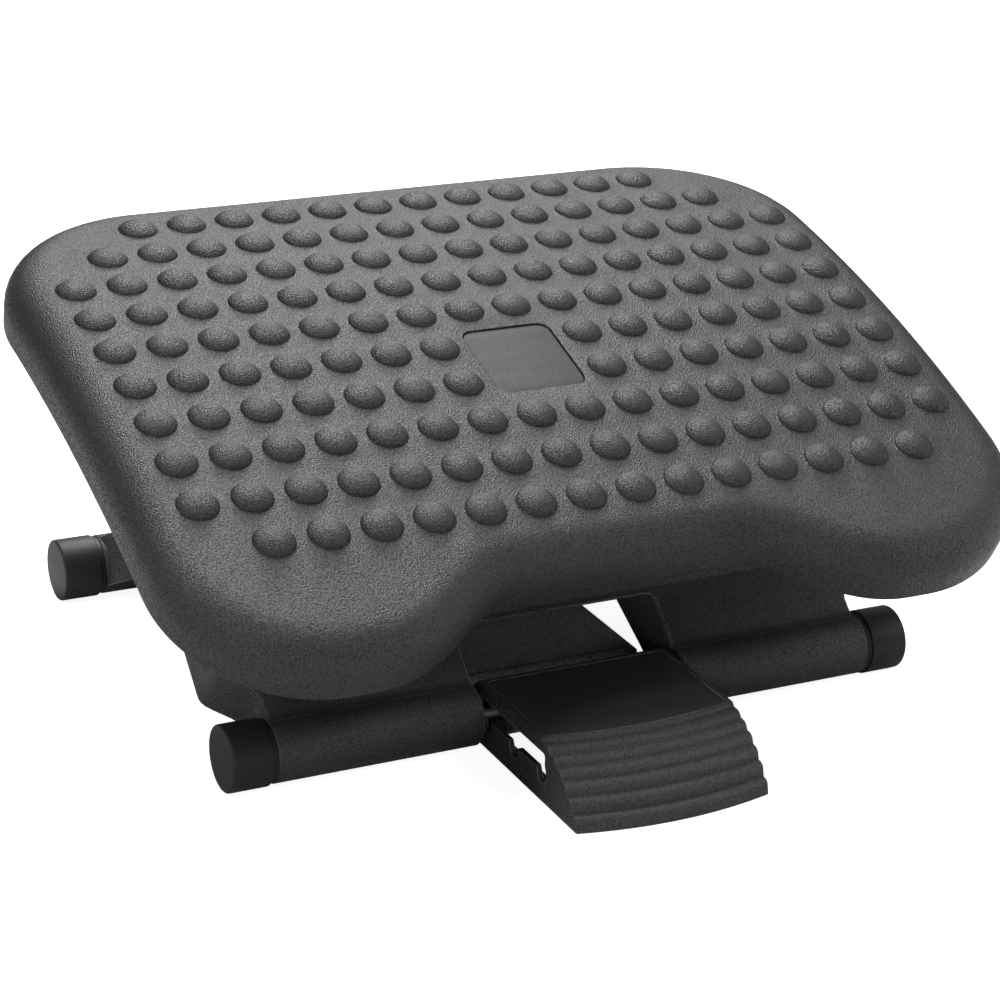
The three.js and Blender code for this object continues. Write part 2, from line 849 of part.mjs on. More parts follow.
// The section carried across the pedal, with its front drawn forward in the middle
function pedalBlock() {
  const sections = Array.from({ length: pedalSections + 1 }, (_, step) => {
    const x = lerp(-pedalHalfWidth, pedalHalfWidth, step / pedalSections);
    return pedalSection(x).map(([y, z]) => [x, y, z]);
  });
  const flat = sections[0].map(([, y, z]) => new THREE.Vector2(y, z));
  const caps = THREE.ShapeUtils.triangulateShape(flat, []);
  const faces = [];
  sections.slice(1).forEach((far, step) => {
    const near = sections[step];
    near.forEach((point, index) => {
      const next = (index + 1) % near.length;
      quad(faces, point, near[next], far[next], far[index]);
    });
  });
  caps.forEach(([a, b, c]) => {
    const near = sections[0];
    const far = sections.at(-1);
    faces.push(...near[c], ...near[b], ...near[a]);
    faces.push(...far[a], ...far[b], ...far[c]);
  });
  const geometry = new THREE.BufferGeometry();
  geometry.setAttribute('position', new THREE.Float32BufferAttribute(faces, 3));
  return geometry;
}

// Slanted pocket with a round foot, leaning back towards its mouth
function pocketShape(y) {
  const mouth = trackHigh - pocketHalfWidth - trackRound;
  const mouthBack = y + (mouth - pocketHeight) * Math.tan(pocketLean);
  const shape = new THREE.Shape();
  shape.absarc(mouthBack, mouth, pocketHalfWidth, -pocketLean, Math.PI - pocketLean);
  shape.absarc(y, pocketHeight, pocketHalfWidth, Math.PI - pocketLean, 2 * Math.PI - pocketLean);
  return shape;
}

const pocketPlaces = Array.from({ length: pocketCount }, (_, index) => (
  lockPinBack - pocketLead - index * pocketPitch
));

function toothedSlot() {
  const halfTrack = (trackHigh - trackLow) / 2;
  const front = pocketPlaces.at(-1) - pocketHalfWidth / 2;
  const track = roundedRectangle((trackRear - front) / 2, halfTrack, trackRound);
  const reach = pedalHalfWidth + overrun;
  const trackPrism = across(track, -reach, reach, arcSteps)
    .translate(0, (trackRear + front) / 2, (trackHigh + trackLow) / 2);
  const pockets = pocketPlaces.map((y) => across(pocketShape(y), -reach, reach, bendSteps));
  return joined(solidOf(trackPrism), ...pockets.map(solidOf));
}

const coverHalfWidth = pedalHalfWidth - coverBorder;
const coverRear = pedalTopRear - coverBorder;
const coverFront = -pedalTopFront + coverBorder;
const coverMiddle = (coverRear + coverFront) / 2;
const coverHalfLength = (coverRear - coverFront) / 2;

const rackScrewPlaces = [-1, 1].flatMap((side) => (
  [rackBossFront, rackBossRear].map((y) => [side * rackBossX, y])
));

function pedalSolid() {
  const innerHalf = pedalHalfWidth - pedalWall;
  const ceiling = pedalHeight - pedalRoof;
  const hollow = across(softened([
    [pedalRear - pedalWall, -overrun],
    [pedalRear - pedalWall, pedalRearStep - pedalWall],
    [pedalTopRear, ceiling],
    [-pedalTopFront, ceiling],
    [-pedalToe + pedalToeWall + pedalToeLean, pedalHeight / 2],
    [-pedalToe + pedalToeWall, -overrun],
  ], []), -innerHalf, innerHalf);
  const coverSeat = upward(
    roundedRectangle(coverHalfWidth + seatGap, coverHalfLength + seatGap, coverCorner + seatGap),
    pedalHeight - coverThickness - seatGap,
    pedalHeight + overrun,
    arcSteps,
  ).translate(0, coverMiddle, 0);
  const tieGate = across(polygon([
    [0, -overrun],
    [pedalRear + overrun, -overrun],
    [pedalRear + overrun, tieFloor + tieSheet + seatGap],
    [0, tieFloor + tieSheet + seatGap],
  ]), -tieFloorHalfWidth - seatGap, tieFloorHalfWidth + seatGap);
  const bossFoot = tieFloor + tieSheet + seatGap;
  const envelope = solidOf(pedalBlock());
  const bosses = rackScrewPlaces.map(([x, y]) => solidOf(turnedUpward([
    [0, bossFoot],
    [rackBossRadius, bossFoot],
    [rackBossRadius, pedalHeight - pedalRoof / 2],
    [0, pedalHeight - pedalRoof / 2],
  ]).translate(x, y, 0)).intersect(envelope));
  const holes = rackScrewPlaces.map(([x, y]) => solidOf(turnedUpward([
    [0, bossFoot - overrun],
    [screwBore, bossFoot - overrun],
    [screwBore, bossFoot + screwLength],
    [0, bossFoot + screwLength],
  ]).translate(x, y, 0)));
  return joined(envelope.subtract(solidOf(hollow)), ...bosses)
    .subtract(solidOf(coverSeat))
    .subtract(solidOf(tieGate))
    .subtract(toothedSlot())
    .subtract(joined(...holes));
}

function pedalCover() {
  return upward(
    roundedRectangle(coverHalfWidth, coverHalfLength, coverCorner),
    pedalHeight - coverThickness,
    pedalHeight,
    arcSteps,
  ).translate(0, coverMiddle, 0);
}

// Steel tie: a low plate inside the pedal, a step up, then a channel back to the pivot
function tieSolid() {
  const stepEnd = tieStepStart + tieStepRun;
  const webRear = legSpread - tieWebEnd;
  const lowTop = tieFloor + tieSheet;
  const highLow = tieTop - tieSheet;
  const tieFront = rackBossFront - tieFrontMargin;
  const low = polygon([
    [tieFront, tieFloor],
    [tieStepStart + tieSheet, tieFloor],
    [stepEnd + tieSheet, highLow],
    [stepEnd + tieLap, highLow],
    [stepEnd + tieLap, tieTop],
    [stepEnd, tieTop],
    [tieStepStart, lowTop],
    [tieFront, lowTop],
  ]);
  const web = polygon([
    [stepEnd, highLow],
    [webRear, highLow],
    [webRear, tieTop],
    [stepEnd, tieTop],
  ]);
  const lip = new THREE.Shape();
  lip.moveTo(stepEnd, tieTop);
  lip.lineTo(stepEnd, tieTop - tieSheet - tieLip / 2);
  lip.lineTo(stepEnd + tieLip, tieTop - tieLip);
  lip.lineTo(webRear, tieTop - tieLip);
  lip.absarc(legSpread, capRadius, tieEar, 1.5 * Math.PI, Math.PI / 2, false);
  lip.lineTo(webRear, tieTop);
  const bore = bar(clearing(pivotPinRadius), -tieHalfWidth - overrun, tieHalfWidth + overrun)
    .translate(0, legSpread, capRadius);
  const holes = rackScrewPlaces.map(([x, y]) => solidOf(turnedUpward([
    [0, tieFloor - overrun],
    [screwBore, tieFloor - overrun],
    [screwBore, lowTop + overrun],
    [0, lowTop + overrun],
  ]).translate(x, y, 0)));
  return joined(
    solidOf(across(low, -tieFloorHalfWidth, tieFloorHalfWidth)),
    solidOf(across(web, -tieHalfWidth, tieHalfWidth)),
    solidOf(across(lip, -tieHalfWidth, -tieHalfWidth + tieSheet)),
    solidOf(across(lip, tieHalfWidth - tieSheet, tieHalfWidth)),
  ).subtract(solidOf(bore)).subtract(joined(...holes));
}

// Assembly

const footrest = new THREE.Group();

// Rack: pedal, its cover, the tie and their screws stand on the floor
const rack = new THREE.Group();
rack.add(piece('pedal_body', pedalSolid(), plasticSmooth));
rack.add(piece('pedal_cover', pedalCover(), plasticSmooth));
rack.add(piece('tie_plate', tieSolid(), paintedSteel));
rackScrewPlaces.forEach(([x, y], index) => {
  rack.add(at(piece(`rack_screw_${index + 1}`, screwSolid(), plainSteel), x, y, tieFloor));
});
footrest.add(rack);

// Pivot pin that joins the tie to the rear leg
const innerFace = cutoutHalf - sheet;
const pinEnd = cutoutHalf + runningGap + pinRetainerLength - pinRetainerDome;
const sides = [['left', Math.PI], ['right', 0]];
const pivot = at(new THREE.Group(), 0, legSpread, capRadius);
pivot.add(piece('pivot_pin', bar(pivotPinRadius, -pinEnd, pinEnd), plainSteel));
sides.forEach(([name, turn]) => {
  const spacer = bar(pivotSpacerRadius, tieHalfWidth + runningGap, innerFace - runningGap,
    clearing(pivotPinRadius));
  const retainer = retainerGeometry(pivotRetainerRadius, clearing(pivotPinRadius),
    pinRetainerLength, pinRetainerDome).translate(cutoutHalf + runningGap, 0, 0);
  pivot.add(piece(`pivot_spacer_${name}`, spacer.rotateZ(turn), nylon));
  pivot.add(piece(`pivot_retainer_${name}`, retainer.rotateZ(turn), plainSteel));
});
footrest.add(pivot);

// Both end caps of a leg
function addCaps(leg, prefix) {
  leg.add(piece(`${prefix}_cap_left`, capGeometry().rotateZ(Math.PI), plasticSmooth));
  leg.add(piece(`${prefix}_cap_right`, capGeometry(), plasticSmooth));
}

// Rear leg, with the hinge rod and its washers
const rearLeg = at(new THREE.Group(), 0, legSpread, capRadius);
const rearTurn = new THREE.Group();
rearLeg.rotation.z = Math.PI;
rearTurn.rotation.x = legSlope;
const pivotPin = { along: 0, height: 0, radius: pivotPinRadius };
rearTurn.add(piece('rear_leg', legSolid(rearLegSizes, pivotPin), paintedSteel));
addCaps(rearTurn, 'rear');
rearLeg.add(rearTurn);
footrest.add(rearLeg);

const apex = at(new THREE.Group(), 0, rodBack, rodHeight);
const rodEnd = frontLegSizes.halfWidth + rodOverhang;
apex.add(piece('hinge_rod', bar(rodRadius, -rodEnd, rodEnd), plainSteel));
sides.forEach(([name, turn]) => {
  const rearEarInner = rearLegSizes.halfWidth - sheet;
  const washer = bar(washerRadius, bracketCentre + bracketHalfWidth + runningGap,
    rearEarInner - runningGap, clearing(rodRadius));
  const spacer = bar(spacerRadius, rearLegSizes.halfWidth + runningGap,
    frontLegSizes.halfWidth - sheet - runningGap, clearing(rodRadius));
  const retainer = retainerGeometry(retainerRadius, clearing(rodRadius),
    rodOverhang + retainerLength - runningGap, retainerDome)
    .translate(frontLegSizes.halfWidth + runningGap, 0, 0);
  apex.add(piece(`friction_washer_${name}`, washer.rotateZ(turn), nylon));
  apex.add(piece(`rod_spacer_${name}`, spacer.rotateZ(turn), nylon));
  apex.add(piece(`rod_retainer_${name}`, retainer.rotateZ(turn), plainSteel));
});
footrest.add(apex);

// Front leg, with the lock pin across its cut-out
const frontLeg = at(new THREE.Group(), 0, 0, capRadius);
frontLeg.rotation.x = legSlope;
const pinInLeg = new THREE.Vector2(lockPinBack, lockPinRise)
  .rotateAround(new THREE.Vector2(0, 0), -legSlope);
const lockPin = { along: pinInLeg.x, height: pinInLeg.y, radius: lockPinRadius };
frontLeg.add(piece('front_leg', legSolid(frontLegSizes, lockPin), paintedSteel));
addCaps(frontLeg, 'front');
const lockGroup = at(new THREE.Group(), 0, lockPin.along, lockPin.height);
lockGroup.add(piece('lock_pin', bar(lockPinRadius, -pinEnd, pinEnd), plainSteel));
sides.forEach(([name, turn]) => {
  const retainer = retainerGeometry(lockRetainerRadius, clearing(lockPinRadius),
    pinRetainerLength, pinRetainerDome).translate(cutoutHalf + runningGap, 0, 0);
  lockGroup.add(piece(`lock_retainer_${name}`, retainer.rotateZ(turn), plainSteel));
});
frontLeg.add(lockGroup);
footrest.add(frontLeg);

// Platform with its bare plate, brackets and screws
const deck = at(new THREE.Group(), 0, gridCentreBack, gridCentreHeight);
deck.rotation.x = deckTilt;
deck.add(piece('platform', deckSolid(), plasticDeck));
deck.add(piece('badge_plate', badgePlate(), plasticBadge));
deck.add(piece('deck_bracket_left', bracketSolid(-1), paintedSteel));
deck.add(piece('deck_bracket_right', bracketSolid(1), paintedSteel));
bossPlaces.forEach(([x, y], index) => {
  deck.add(at(piece(`deck_screw_${index + 1}`, screwSolid(), plainSteel), x, y,
    bracketTop - bracketSheet));
});
footrest.add(deck);

// The origin is on the floor under the middle of the whole footrest
footrest.updateMatrixWorld(true);
const box = new THREE.Box3().setFromObject(footrest, true);
const middle = box.getCenter(new THREE.Vector3());
const placed = new THREE.Group();
placed.position.set(-middle.x, -middle.y, -box.min.z);
placed.add(footrest);

export default placed;
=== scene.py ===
"""Looks of the tilting under desk footrest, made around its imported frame.

Shapes are drawn in millimetres in each body's own directions, and turned into
metres in the frame as they are put into a mesh.
"""

import json
import math

import bmesh
import bpy
import numpy as np
from mathutils import Matrix, Vector
from mathutils.geometry import delaunay_2d_cdt

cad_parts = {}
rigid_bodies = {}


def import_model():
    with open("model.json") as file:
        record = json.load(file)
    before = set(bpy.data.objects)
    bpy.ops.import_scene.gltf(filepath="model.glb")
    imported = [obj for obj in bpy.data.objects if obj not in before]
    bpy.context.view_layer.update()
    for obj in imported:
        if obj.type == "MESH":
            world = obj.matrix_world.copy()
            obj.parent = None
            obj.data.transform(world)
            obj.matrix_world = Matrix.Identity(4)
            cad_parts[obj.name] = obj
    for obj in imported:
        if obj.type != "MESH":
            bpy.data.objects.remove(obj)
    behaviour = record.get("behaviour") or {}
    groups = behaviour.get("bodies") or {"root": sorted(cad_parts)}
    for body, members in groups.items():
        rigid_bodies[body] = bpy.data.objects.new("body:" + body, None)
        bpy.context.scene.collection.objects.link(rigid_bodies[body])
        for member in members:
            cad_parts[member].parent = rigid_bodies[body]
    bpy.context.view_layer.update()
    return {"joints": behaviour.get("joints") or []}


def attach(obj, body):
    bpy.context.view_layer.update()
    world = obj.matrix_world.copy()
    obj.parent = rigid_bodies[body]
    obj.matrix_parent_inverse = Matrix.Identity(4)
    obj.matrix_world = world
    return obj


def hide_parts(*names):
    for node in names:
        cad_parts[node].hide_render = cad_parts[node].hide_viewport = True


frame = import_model()

MM = 0.001
SEAT_GAP = 0.3
RUNNING_GAP = 0.3
SAME_POINT = 0.002
SIDES = ((-1, "left"), (1, "right"))

# ---------------------------------------------------------------- where bodies stand

JOINT_PLACES = {joint["name"]: np.array(joint["pos_m"]) / MM for joint in frame["joints"]}
REAR_PIVOT = JOINT_PLACES["leg_fold"]
APEX = JOINT_PLACES["deck_tilt"]
HALF_SPREAD = REAR_PIVOT[1] - APEX[1]
LEG_RISE = APEX[2] - REAR_PIVOT[2]
LEG_LENGTH = math.hypot(HALF_SPREAD, LEG_RISE)
LEG_SLOPE = math.atan2(LEG_RISE, HALF_SPREAD)
LEG_SPREAD = 2 * HALF_SPREAD
TUBE_AXIS_HEIGHT = REAR_PIVOT[2]
FRONT_AXIS = APEX - np.array([0, HALF_SPREAD, LEG_RISE])
DECK_TILT = math.radians(16.24)
DECK_FORWARD = 24.25
DECK_MIDDLE_HEIGHT = 177
DECK_CENTRE = np.array([APEX[0], APEX[1] - DECK_FORWARD, DECK_MIDDLE_HEIGHT])


def turn(angle, axis="X"):
    """Matrix that turns about an axis by an angle."""
    return np.array(Matrix.Rotation(angle, 3, axis))


# Sides of things turned about a line, by how large they are
ROUND_SIDES = 48
TUBE_SIDES = 72

# Drawn (u, v, w) becomes (w, u, v): a drawing in (Y, Z) carried along X
ALONG_X = np.array([[0, 0, 1], [1, 0, 0], [0, 1, 0]], float)

# The body that a drawing belongs to, its directions and its origin
DECK = ("deck", turn(DECK_TILT), DECK_CENTRE)
FRONT = ("front_leg_body", turn(LEG_SLOPE), FRONT_AXIS)
REAR = ("rear_leg_body", turn(math.pi, "Z") @ turn(LEG_SLOPE), REAR_PIVOT)
ROD = ("hinge_rod_body", np.eye(3), APEX)
PIVOT = ("rack_pivot", np.eye(3), REAR_PIVOT)
RACK = ("rack", np.eye(3), np.array([0, FRONT_AXIS[1], 0]))

# ---------------------------------------------------------------- drawing with numpy


def lerp(start, end, share):
    """Value that lies a share of the way from start to end."""
    return start + (end - start) * share


def smoothstep(low, high, value):
    """3 s^2 - 2 s^3, with s from 0 at low to 1 at high."""
    share = np.clip((value - low) / (high - low), 0, 1)
    return share * share * (3 - 2 * share)


def bezier(controls, t):
    """Curve of n + 1 controls: sum of C(n, i) (1 - t)^(n - i) t^i control i."""
    n, t = len(controls) - 1, t[:, None]
    return sum(
        math.comb(n, i) * (1 - t) ** (n - i) * t**i * point for i, point in enumerate(controls)
    )


def quads(rows, columns, around=False):
    """Faces between the points of a grid kept row by row; around closes each row."""
    index = np.arange(rows * columns).reshape(rows, columns)
    if around:
        index = np.hstack([index, index[:, :1]])
    corners = [index[:-1, :-1], index[:-1, 1:], index[1:, 1:], index[1:, :-1]]
    return np.stack(corners, -1).reshape(-1, 4)


def banded(points, shut=False):
    """Rings of points, row by row, joined into a band; shut closes both its ends."""
    rows, columns = points.shape[:2]
    starts = (0, (rows - 1) * columns) if shut else ()
    ends = [np.arange(columns)[None] + start for start in starts]
    return points.reshape(-1, 3), [quads(rows, columns, around=True), *ends]


def joined(*shapes):
    """Shapes, each (points, blocks of faces), as one shape."""
    starts = np.cumsum([0] + [len(points) for points, _ in shapes[:-1]])
    blocks = [block + start for start, (_, faces) in zip(starts, shapes) for block in faces]
    return np.vstack([points for points, _ in shapes]), blocks


def moved(shape, matrix=np.eye(3), offset=(0, 0, 0)):
    """A shape turned by a matrix, then shifted."""
    return shape[0] @ np.asarray(matrix).T + np.asarray(offset, float), shape[1]


def eased(corners, steps=5, closed=True):
    """Corners (u, v, cut) in a row, each given way to the curve (1-t)^2 entry
    + 2t(1-t) corner + t^2 exit, whose ends lie the cut's length before and after the
    corner, or less where its neighbours are near."""
    corner, cut = np.split(np.array(corners, float), [2], 1)
    cut = cut[:, 0]
    if not closed:
        cut[[0, -1]] = 0
    far = np.linalg.norm(np.roll(corner, -1, 0) - corner, axis=1)
    share = far / np.maximum(cut + np.roll(cut, -1), 1e-9)
    cut *= np.minimum(1, 0.96 * np.minimum(share, np.roll(share, 1)))

    def towards(other):
        """Unit steps from each corner to another."""
        step = other - corner
        return step / np.maximum(np.linalg.norm(step, axis=1, keepdims=True), 1e-9)

    entry = corner + towards(np.roll(corner, 1, 0)) * cut[:, None]
    leave = corner + towards(np.roll(corner, -1, 0)) * cut[:, None]
    t = np.linspace(0, 1, steps)[None, :, None]
    curve = (1 - t) ** 2 * entry[:, None] + 2 * t * (1 - t) * corner[:, None]
    curve = (curve + t**2 * leave[:, None]).reshape(-1, 2)
    kept = np.ones(len(curve), bool)
    kept[1:] = np.linalg.norm(np.diff(curve, axis=0), axis=1) > SAME_POINT
    return curve[kept]


def eased_line(corners, steps=5):
    """The same for a row of corners that stays open."""
    return eased(corners, steps, closed=False)


def with_cuts(corners, cuts):
    """Corners with a cut for each, or one cut for all."""
    return np.column_stack([corners, np.broadcast_to(cuts, len(corners))])


def spread_between(start, end, steps):
    """Points evenly along a line, with its start and without its end."""
    share = np.arange(steps)[:, None] / steps
    return lerp(np.asarray(start, float), np.asarray(end, float), share)


def in_a_row(*parts):
    """Parts of an outline, one after the other."""
    return np.vstack(parts)


def grid_of(across, along):
    """Every pair of two rows of places."""
    return np.stack(np.meshgrid(across, along), -1).reshape(-1, 2)


def arc(centre, radius, start, end, steps):
    """Points at a radius round a centre, from one angle in degrees to another."""
    angle = np.radians(np.linspace(start, end, steps))
    return np.asarray(centre, float) + radius * np.stack([np.cos(angle), np.sin(angle)], -1)


def hole(centre, radius, sides=32):
    """A whole circle of points, clockwise."""
    return arc(centre, radius, 0, 360 * (1 - 1 / sides), sides)[::-1]


def rounded_box(half_u, half_v, corner, steps=7):
    """A rectangle round the origin with round corners, counter-clockwise."""
    u, v = half_u - corner, half_v - corner
    quarters = ((1, 1, 0), (-1, 1, 90), (-1, -1, 180), (1, -1, 270))
    return np.vstack([arc((a * u, b * v), corner, at, at + 90, steps) for a, b, at in quarters])


def box_between(low, high, corner):
    """The same from one corner to the other."""
    low, high = np.asarray(low, float), np.asarray(high, float)
    return rounded_box(*(high - low) / 2, corner) + (low + high) / 2


def set_in(outline, distance):
    """Each point moved to its left by a distance square to the line through its
    neighbours, and further at a corner: inwards where the outline is counter-clockwise."""

    def left_of(step):
        """Unit steps square to others, to their left."""
        square = np.stack([-step[:, 1], step[:, 0]], -1)
        return square / np.maximum(np.linalg.norm(step, axis=1, keepdims=True), 1e-9)

    one = left_of(outline - np.roll(outline, 1, 0))
    two = left_of(np.roll(outline, -1, 0) - outline)
    closeness = np.maximum((one * two).sum(1, keepdims=True), -0.5)
    return outline + distance * (one + two) / (1 + closeness)


def inside(outline, points):
    """Whether each point lies inside an outline, by counting the sides that a line
    from it crosses."""
    a, b = outline, np.roll(outline, -1, 0)
    px, py = points[:, :1], points[:, 1:]
    rises = (a[:, 1] > py) != (b[:, 1] > py)
    with np.errstate(divide="ignore", invalid="ignore"):
        crossing = a[:, 0] + (py - a[:, 1]) / (b[:, 1] - a[:, 1]) * (b[:, 0] - a[:, 0])
    return (rises & (px < crossing)).sum(1) % 2 == 1


def filled(rings, inner=None):
    """Triangles over the first ring and outside the others, with any inner points."""
    loops = [np.asarray(points, float) for points in rings]
    starts = np.cumsum([0] + [len(points) for points in loops])
    edges = [
        (start + index, start + (index + 1) % len(points))
        for start, points in zip(starts, loops)
        for index in range(len(points))
    ]
    every = np.vstack(loops + ([] if inner is None else [inner]))
    drawn = [Vector(point) for point in every.tolist()]
    flat, _, faces, _, _, _ = delaunay_2d_cdt(drawn, edges, [], 0, 1e-5, True)
    flat, faces = np.array([tuple(point) for point in flat]), np.array(faces)
    middle = flat[faces].mean(1)
    keep = inside(loops[0], middle)
    for gap in loops[1:]:
        near = np.abs(middle - gap.mean(0)).max(1) < np.ptp(gap, axis=0).max()
        keep[near] &= ~inside(gap, middle[near])
    return flat, faces[keep]


def at_height(flat, height):
    """Points (u, v) at a height w."""
    return np.column_stack([flat, np.full(len(flat), height)])


def plate(rings, low, high, ease=0.3, steps=3, inner=None):
    """A flat drawing carried from low to high, with its rims eased by a quarter
    circle: (inset, height) = (e (1 - sin t), e (1 - cos t)) from each face."""
    rings = [np.asarray(points, float) for points in rings]
    lower = arc((ease, low + ease), ease, 270, 180, steps)
    profile = in_a_row(lower, arc((ease, high - ease), ease, 180, 90, steps))
    rims = [banded(np.stack([at_height(set_in(ring, d), h) for d, h in profile])) for ring in rings]
    flat, faces = filled([set_in(ring, ease) for ring in rings], inner)
    return joined(*rims, *[(at_height(flat, height), [faces]) for height in (low, high)])


def plate_across(*drawing, **more):
    """A plate drawn in (Y, Z) and carried along X."""
    return moved(plate(*drawing, **more), ALONG_X)


def turned(profile, sides=ROUND_SIDES, hexagon=0):
    """A profile of (radius, place) turned about Z: the point at an angle is
    (radius cos, radius sin, place). The first rows counted by hexagon get six flats."""
    profile = np.asarray(profile, float)
    angle = 2 * math.pi * np.arange(sides) / sides
    radius = np.repeat(profile[:, :1], sides, 1)
    sixth = math.pi / 3
    radius[:hexagon] *= math.cos(sixth / 2) / np.cos(np.mod(angle, sixth) - sixth / 2)
    place = radius * 0 + profile[:, 1:]
    return banded(np.stack([radius * np.cos(angle), radius * np.sin(angle), place], -1))


def turned_across(corners, side=1, sides=ROUND_SIDES, steps=5):
    """Corners (radius, place, cut), eased and turned about X, on the side given by its
    sign."""
    return moved(turned(eased_line(corners, steps) * (1, side), sides), ALONG_X)


# ---------------------------------------------------------------- meshes


def sealed(shape, direction=None):
    """Mesh data with equal points made one and faces turned outwards, or for an
    open sheet towards a direction."""
    points, blocks = shape
    data = bpy.data.meshes.new("drawn")
    data.from_pydata(points.tolist(), [], [face for block in blocks for face in block.tolist()])
    work = bmesh.new()
    work.from_mesh(data)
    bmesh.ops.remove_doubles(work, verts=work.verts, dist=SAME_POINT)
    bmesh.ops.dissolve_degenerate(work, edges=work.edges, dist=SAME_POINT / 10)
    if direction is None:
        bmesh.ops.recalc_face_normals(work, faces=work.faces)
    else:
        total = sum((f.normal * f.calc_area() for f in work.faces), Vector())
        if total.dot(Vector(direction)) < 0:
            bmesh.ops.reverse_faces(work, faces=work.faces)
    work.to_mesh(data)
    work.free()
    return data


def add_piece(name, node, shape, stand, look, crease=34, direction=None):
    """Puts a shape where its body stands, in metres, as one shaded piece that rides on
    the body and stands for its CAD node."""
    body, directions, origin = stand
    slot, material = look
    data = shape if isinstance(shape, bpy.types.Mesh) else sealed(shape, direction)
    data.name = name
    matrix = Matrix(np.asarray(directions).tolist()).to_4x4()
    matrix.translation = Vector(origin)
    data.transform(Matrix.Scale(MM, 4) @ matrix)
    data.shade_smooth()
    data.set_sharp_from_angle(angle=math.radians(crease))
    data.materials.append(material)
    piece = bpy.data.objects.new(name, data)
    bpy.context.scene.collection.objects.link(piece)
    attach(piece, body)
    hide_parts(node)
    return piece


def soften_edges(piece, width, angle):
    """Live bevel on the edges sharper than an angle, in millimetres."""
    bevel = piece.modifiers.new("soft edges", "BEVEL")
    bevel.width = width * MM
    bevel.segments = 2
    bevel.limit_method = "ANGLE"
    bevel.angle_limit = math.radians(angle)
    bevel.harden_normals = False


def thicken(piece, thickness):
    """Gives an open sheet its thickness on the side away from its faces."""
    wall = piece.modifiers.new("sheet thickness", "SOLIDIFY")
    wall.thickness = thickness * MM
    wall.offset = -1
    wall.use_even_offset = True


def carved(block, cutters):
    """Block with every cutter taken out of it, as mesh data in the drawing's frame."""
    scene_objects = bpy.context.scene.collection.objects
    body = bpy.data.objects.new("block", sealed(block))
    scene_objects.link(body)
    spent = []
    for index, cutter in enumerate(cutters):
        tool = bpy.data.objects.new(f"cutter {index}", sealed(cutter))
        scene_objects.link(tool)
        cut = body.modifiers.new(f"cut {index}", "BOOLEAN")
        cut.operation = "DIFFERENCE"
        cut.solver = "EXACT"
        cut.object = tool
        spent.append(tool)
    bpy.context.view_layer.update()
    depsgraph = bpy.context.evaluated_depsgraph_get()
    data = bpy.data.meshes.new_from_object(body.evaluated_get(depsgraph))
    for item in [body, *spent]:
        bpy.data.objects.remove(item)
    return data


# ---------------------------------------------------------------- finishes


def new_group(name, inputs, outputs):
    """Empty node group of numbers, with inputs {name: default}. Gives it with its
    sockets and the place on the object."""
    group = bpy.data.node_groups.new(name, "ShaderNodeTree")
    for label in (*inputs, *outputs):
        way = "INPUT" if label in inputs else "OUTPUT"
        socket = group.interface.new_socket(
            name=label, in_out=way, socket_type="NodeSocketFloat"
        )
        socket.default_value = inputs.get(label, 0)
    entry = group.nodes.new("NodeGroupInput").outputs
    leave = group.nodes.new("NodeGroupOutput").inputs
    where = group.nodes.new("ShaderNodeTexCoord").outputs["Object"]
    return group, entry, leave, where


def add_node(tree, kind, links=None, **values):
    """One node: properties by their names, inputs by links {input: socket or value}."""
    node = tree.nodes.new(kind)
    for key, value in values.items():
        setattr(node, key, value)
    for key, value in (links or {}).items():
        socket = node.inputs[key]
        if isinstance(value, bpy.types.NodeSocket):
            tree.links.new(value, socket)
        else:
            socket.default_value = value
    return node


def math_node(tree, operation, *operands, clamp=False):
    """Result of a sum on two or three operands."""
    links = dict(enumerate(operands))
    node = add_node(tree, "ShaderNodeMath", links, operation=operation, use_clamp=clamp)
    return node.outputs[0]


def noise(tree, where, scale, detail, roughness=0.5):
    """Outputs of a noise texture."""
    links = {"Vector": where, "Scale": scale, "Detail": detail, "Roughness": roughness}
    return add_node(tree, "ShaderNodeTexNoise", links).outputs


def remap(tree, value, low, high, to_low=0.0, to_high=1.0):
    """A value carried from one span to another, and held at its ends."""
    links = {"Value": value, "From Min": low, "From Max": high}
    links.update({"To Min": to_low, "To Max": to_high})
    return add_node(tree, "ShaderNodeMapRange", links).outputs[0]


def pebble_grain():
    """Moulded grain: cells as rounded as 1 - distance, bent a little, with fine noise
    added. Pits is 1 in the low places between them."""
    group, entry, leave, where = new_group(
        "pebble grain", {"Size mm": 1.0, "Fine share": 0.35}, ("Height", "Pits")
    )
    bend = 0.25 * MM
    rate = math_node(group, "DIVIDE", 1 / MM, entry["Size mm"])
    warp = noise(group, where, rate, 2.0)["Color"]
    links = {0: warp, 1: (bend, bend, bend), 2: where}
    bent = add_node(group, "ShaderNodeVectorMath", links, operation="MULTIPLY_ADD").outputs[0]
    links = {"Vector": bent, "Scale": rate}
    cells = add_node(group, "ShaderNodeTexVoronoi", links, feature="F1")
    fine = noise(group, where, math_node(group, "MULTIPLY", rate, 2.6), 3.0)["Fac"]
    dome = math_node(group, "SUBTRACT", 1.0, cells.outputs["Distance"])
    height = math_node(group, "MULTIPLY_ADD", fine, entry["Fine share"], dome)
    group.links.new(height, leave["Height"])
    group.links.new(remap(group, height, 0.55, 0.95, 1.0, 0.0), leave["Pits"])
    return group


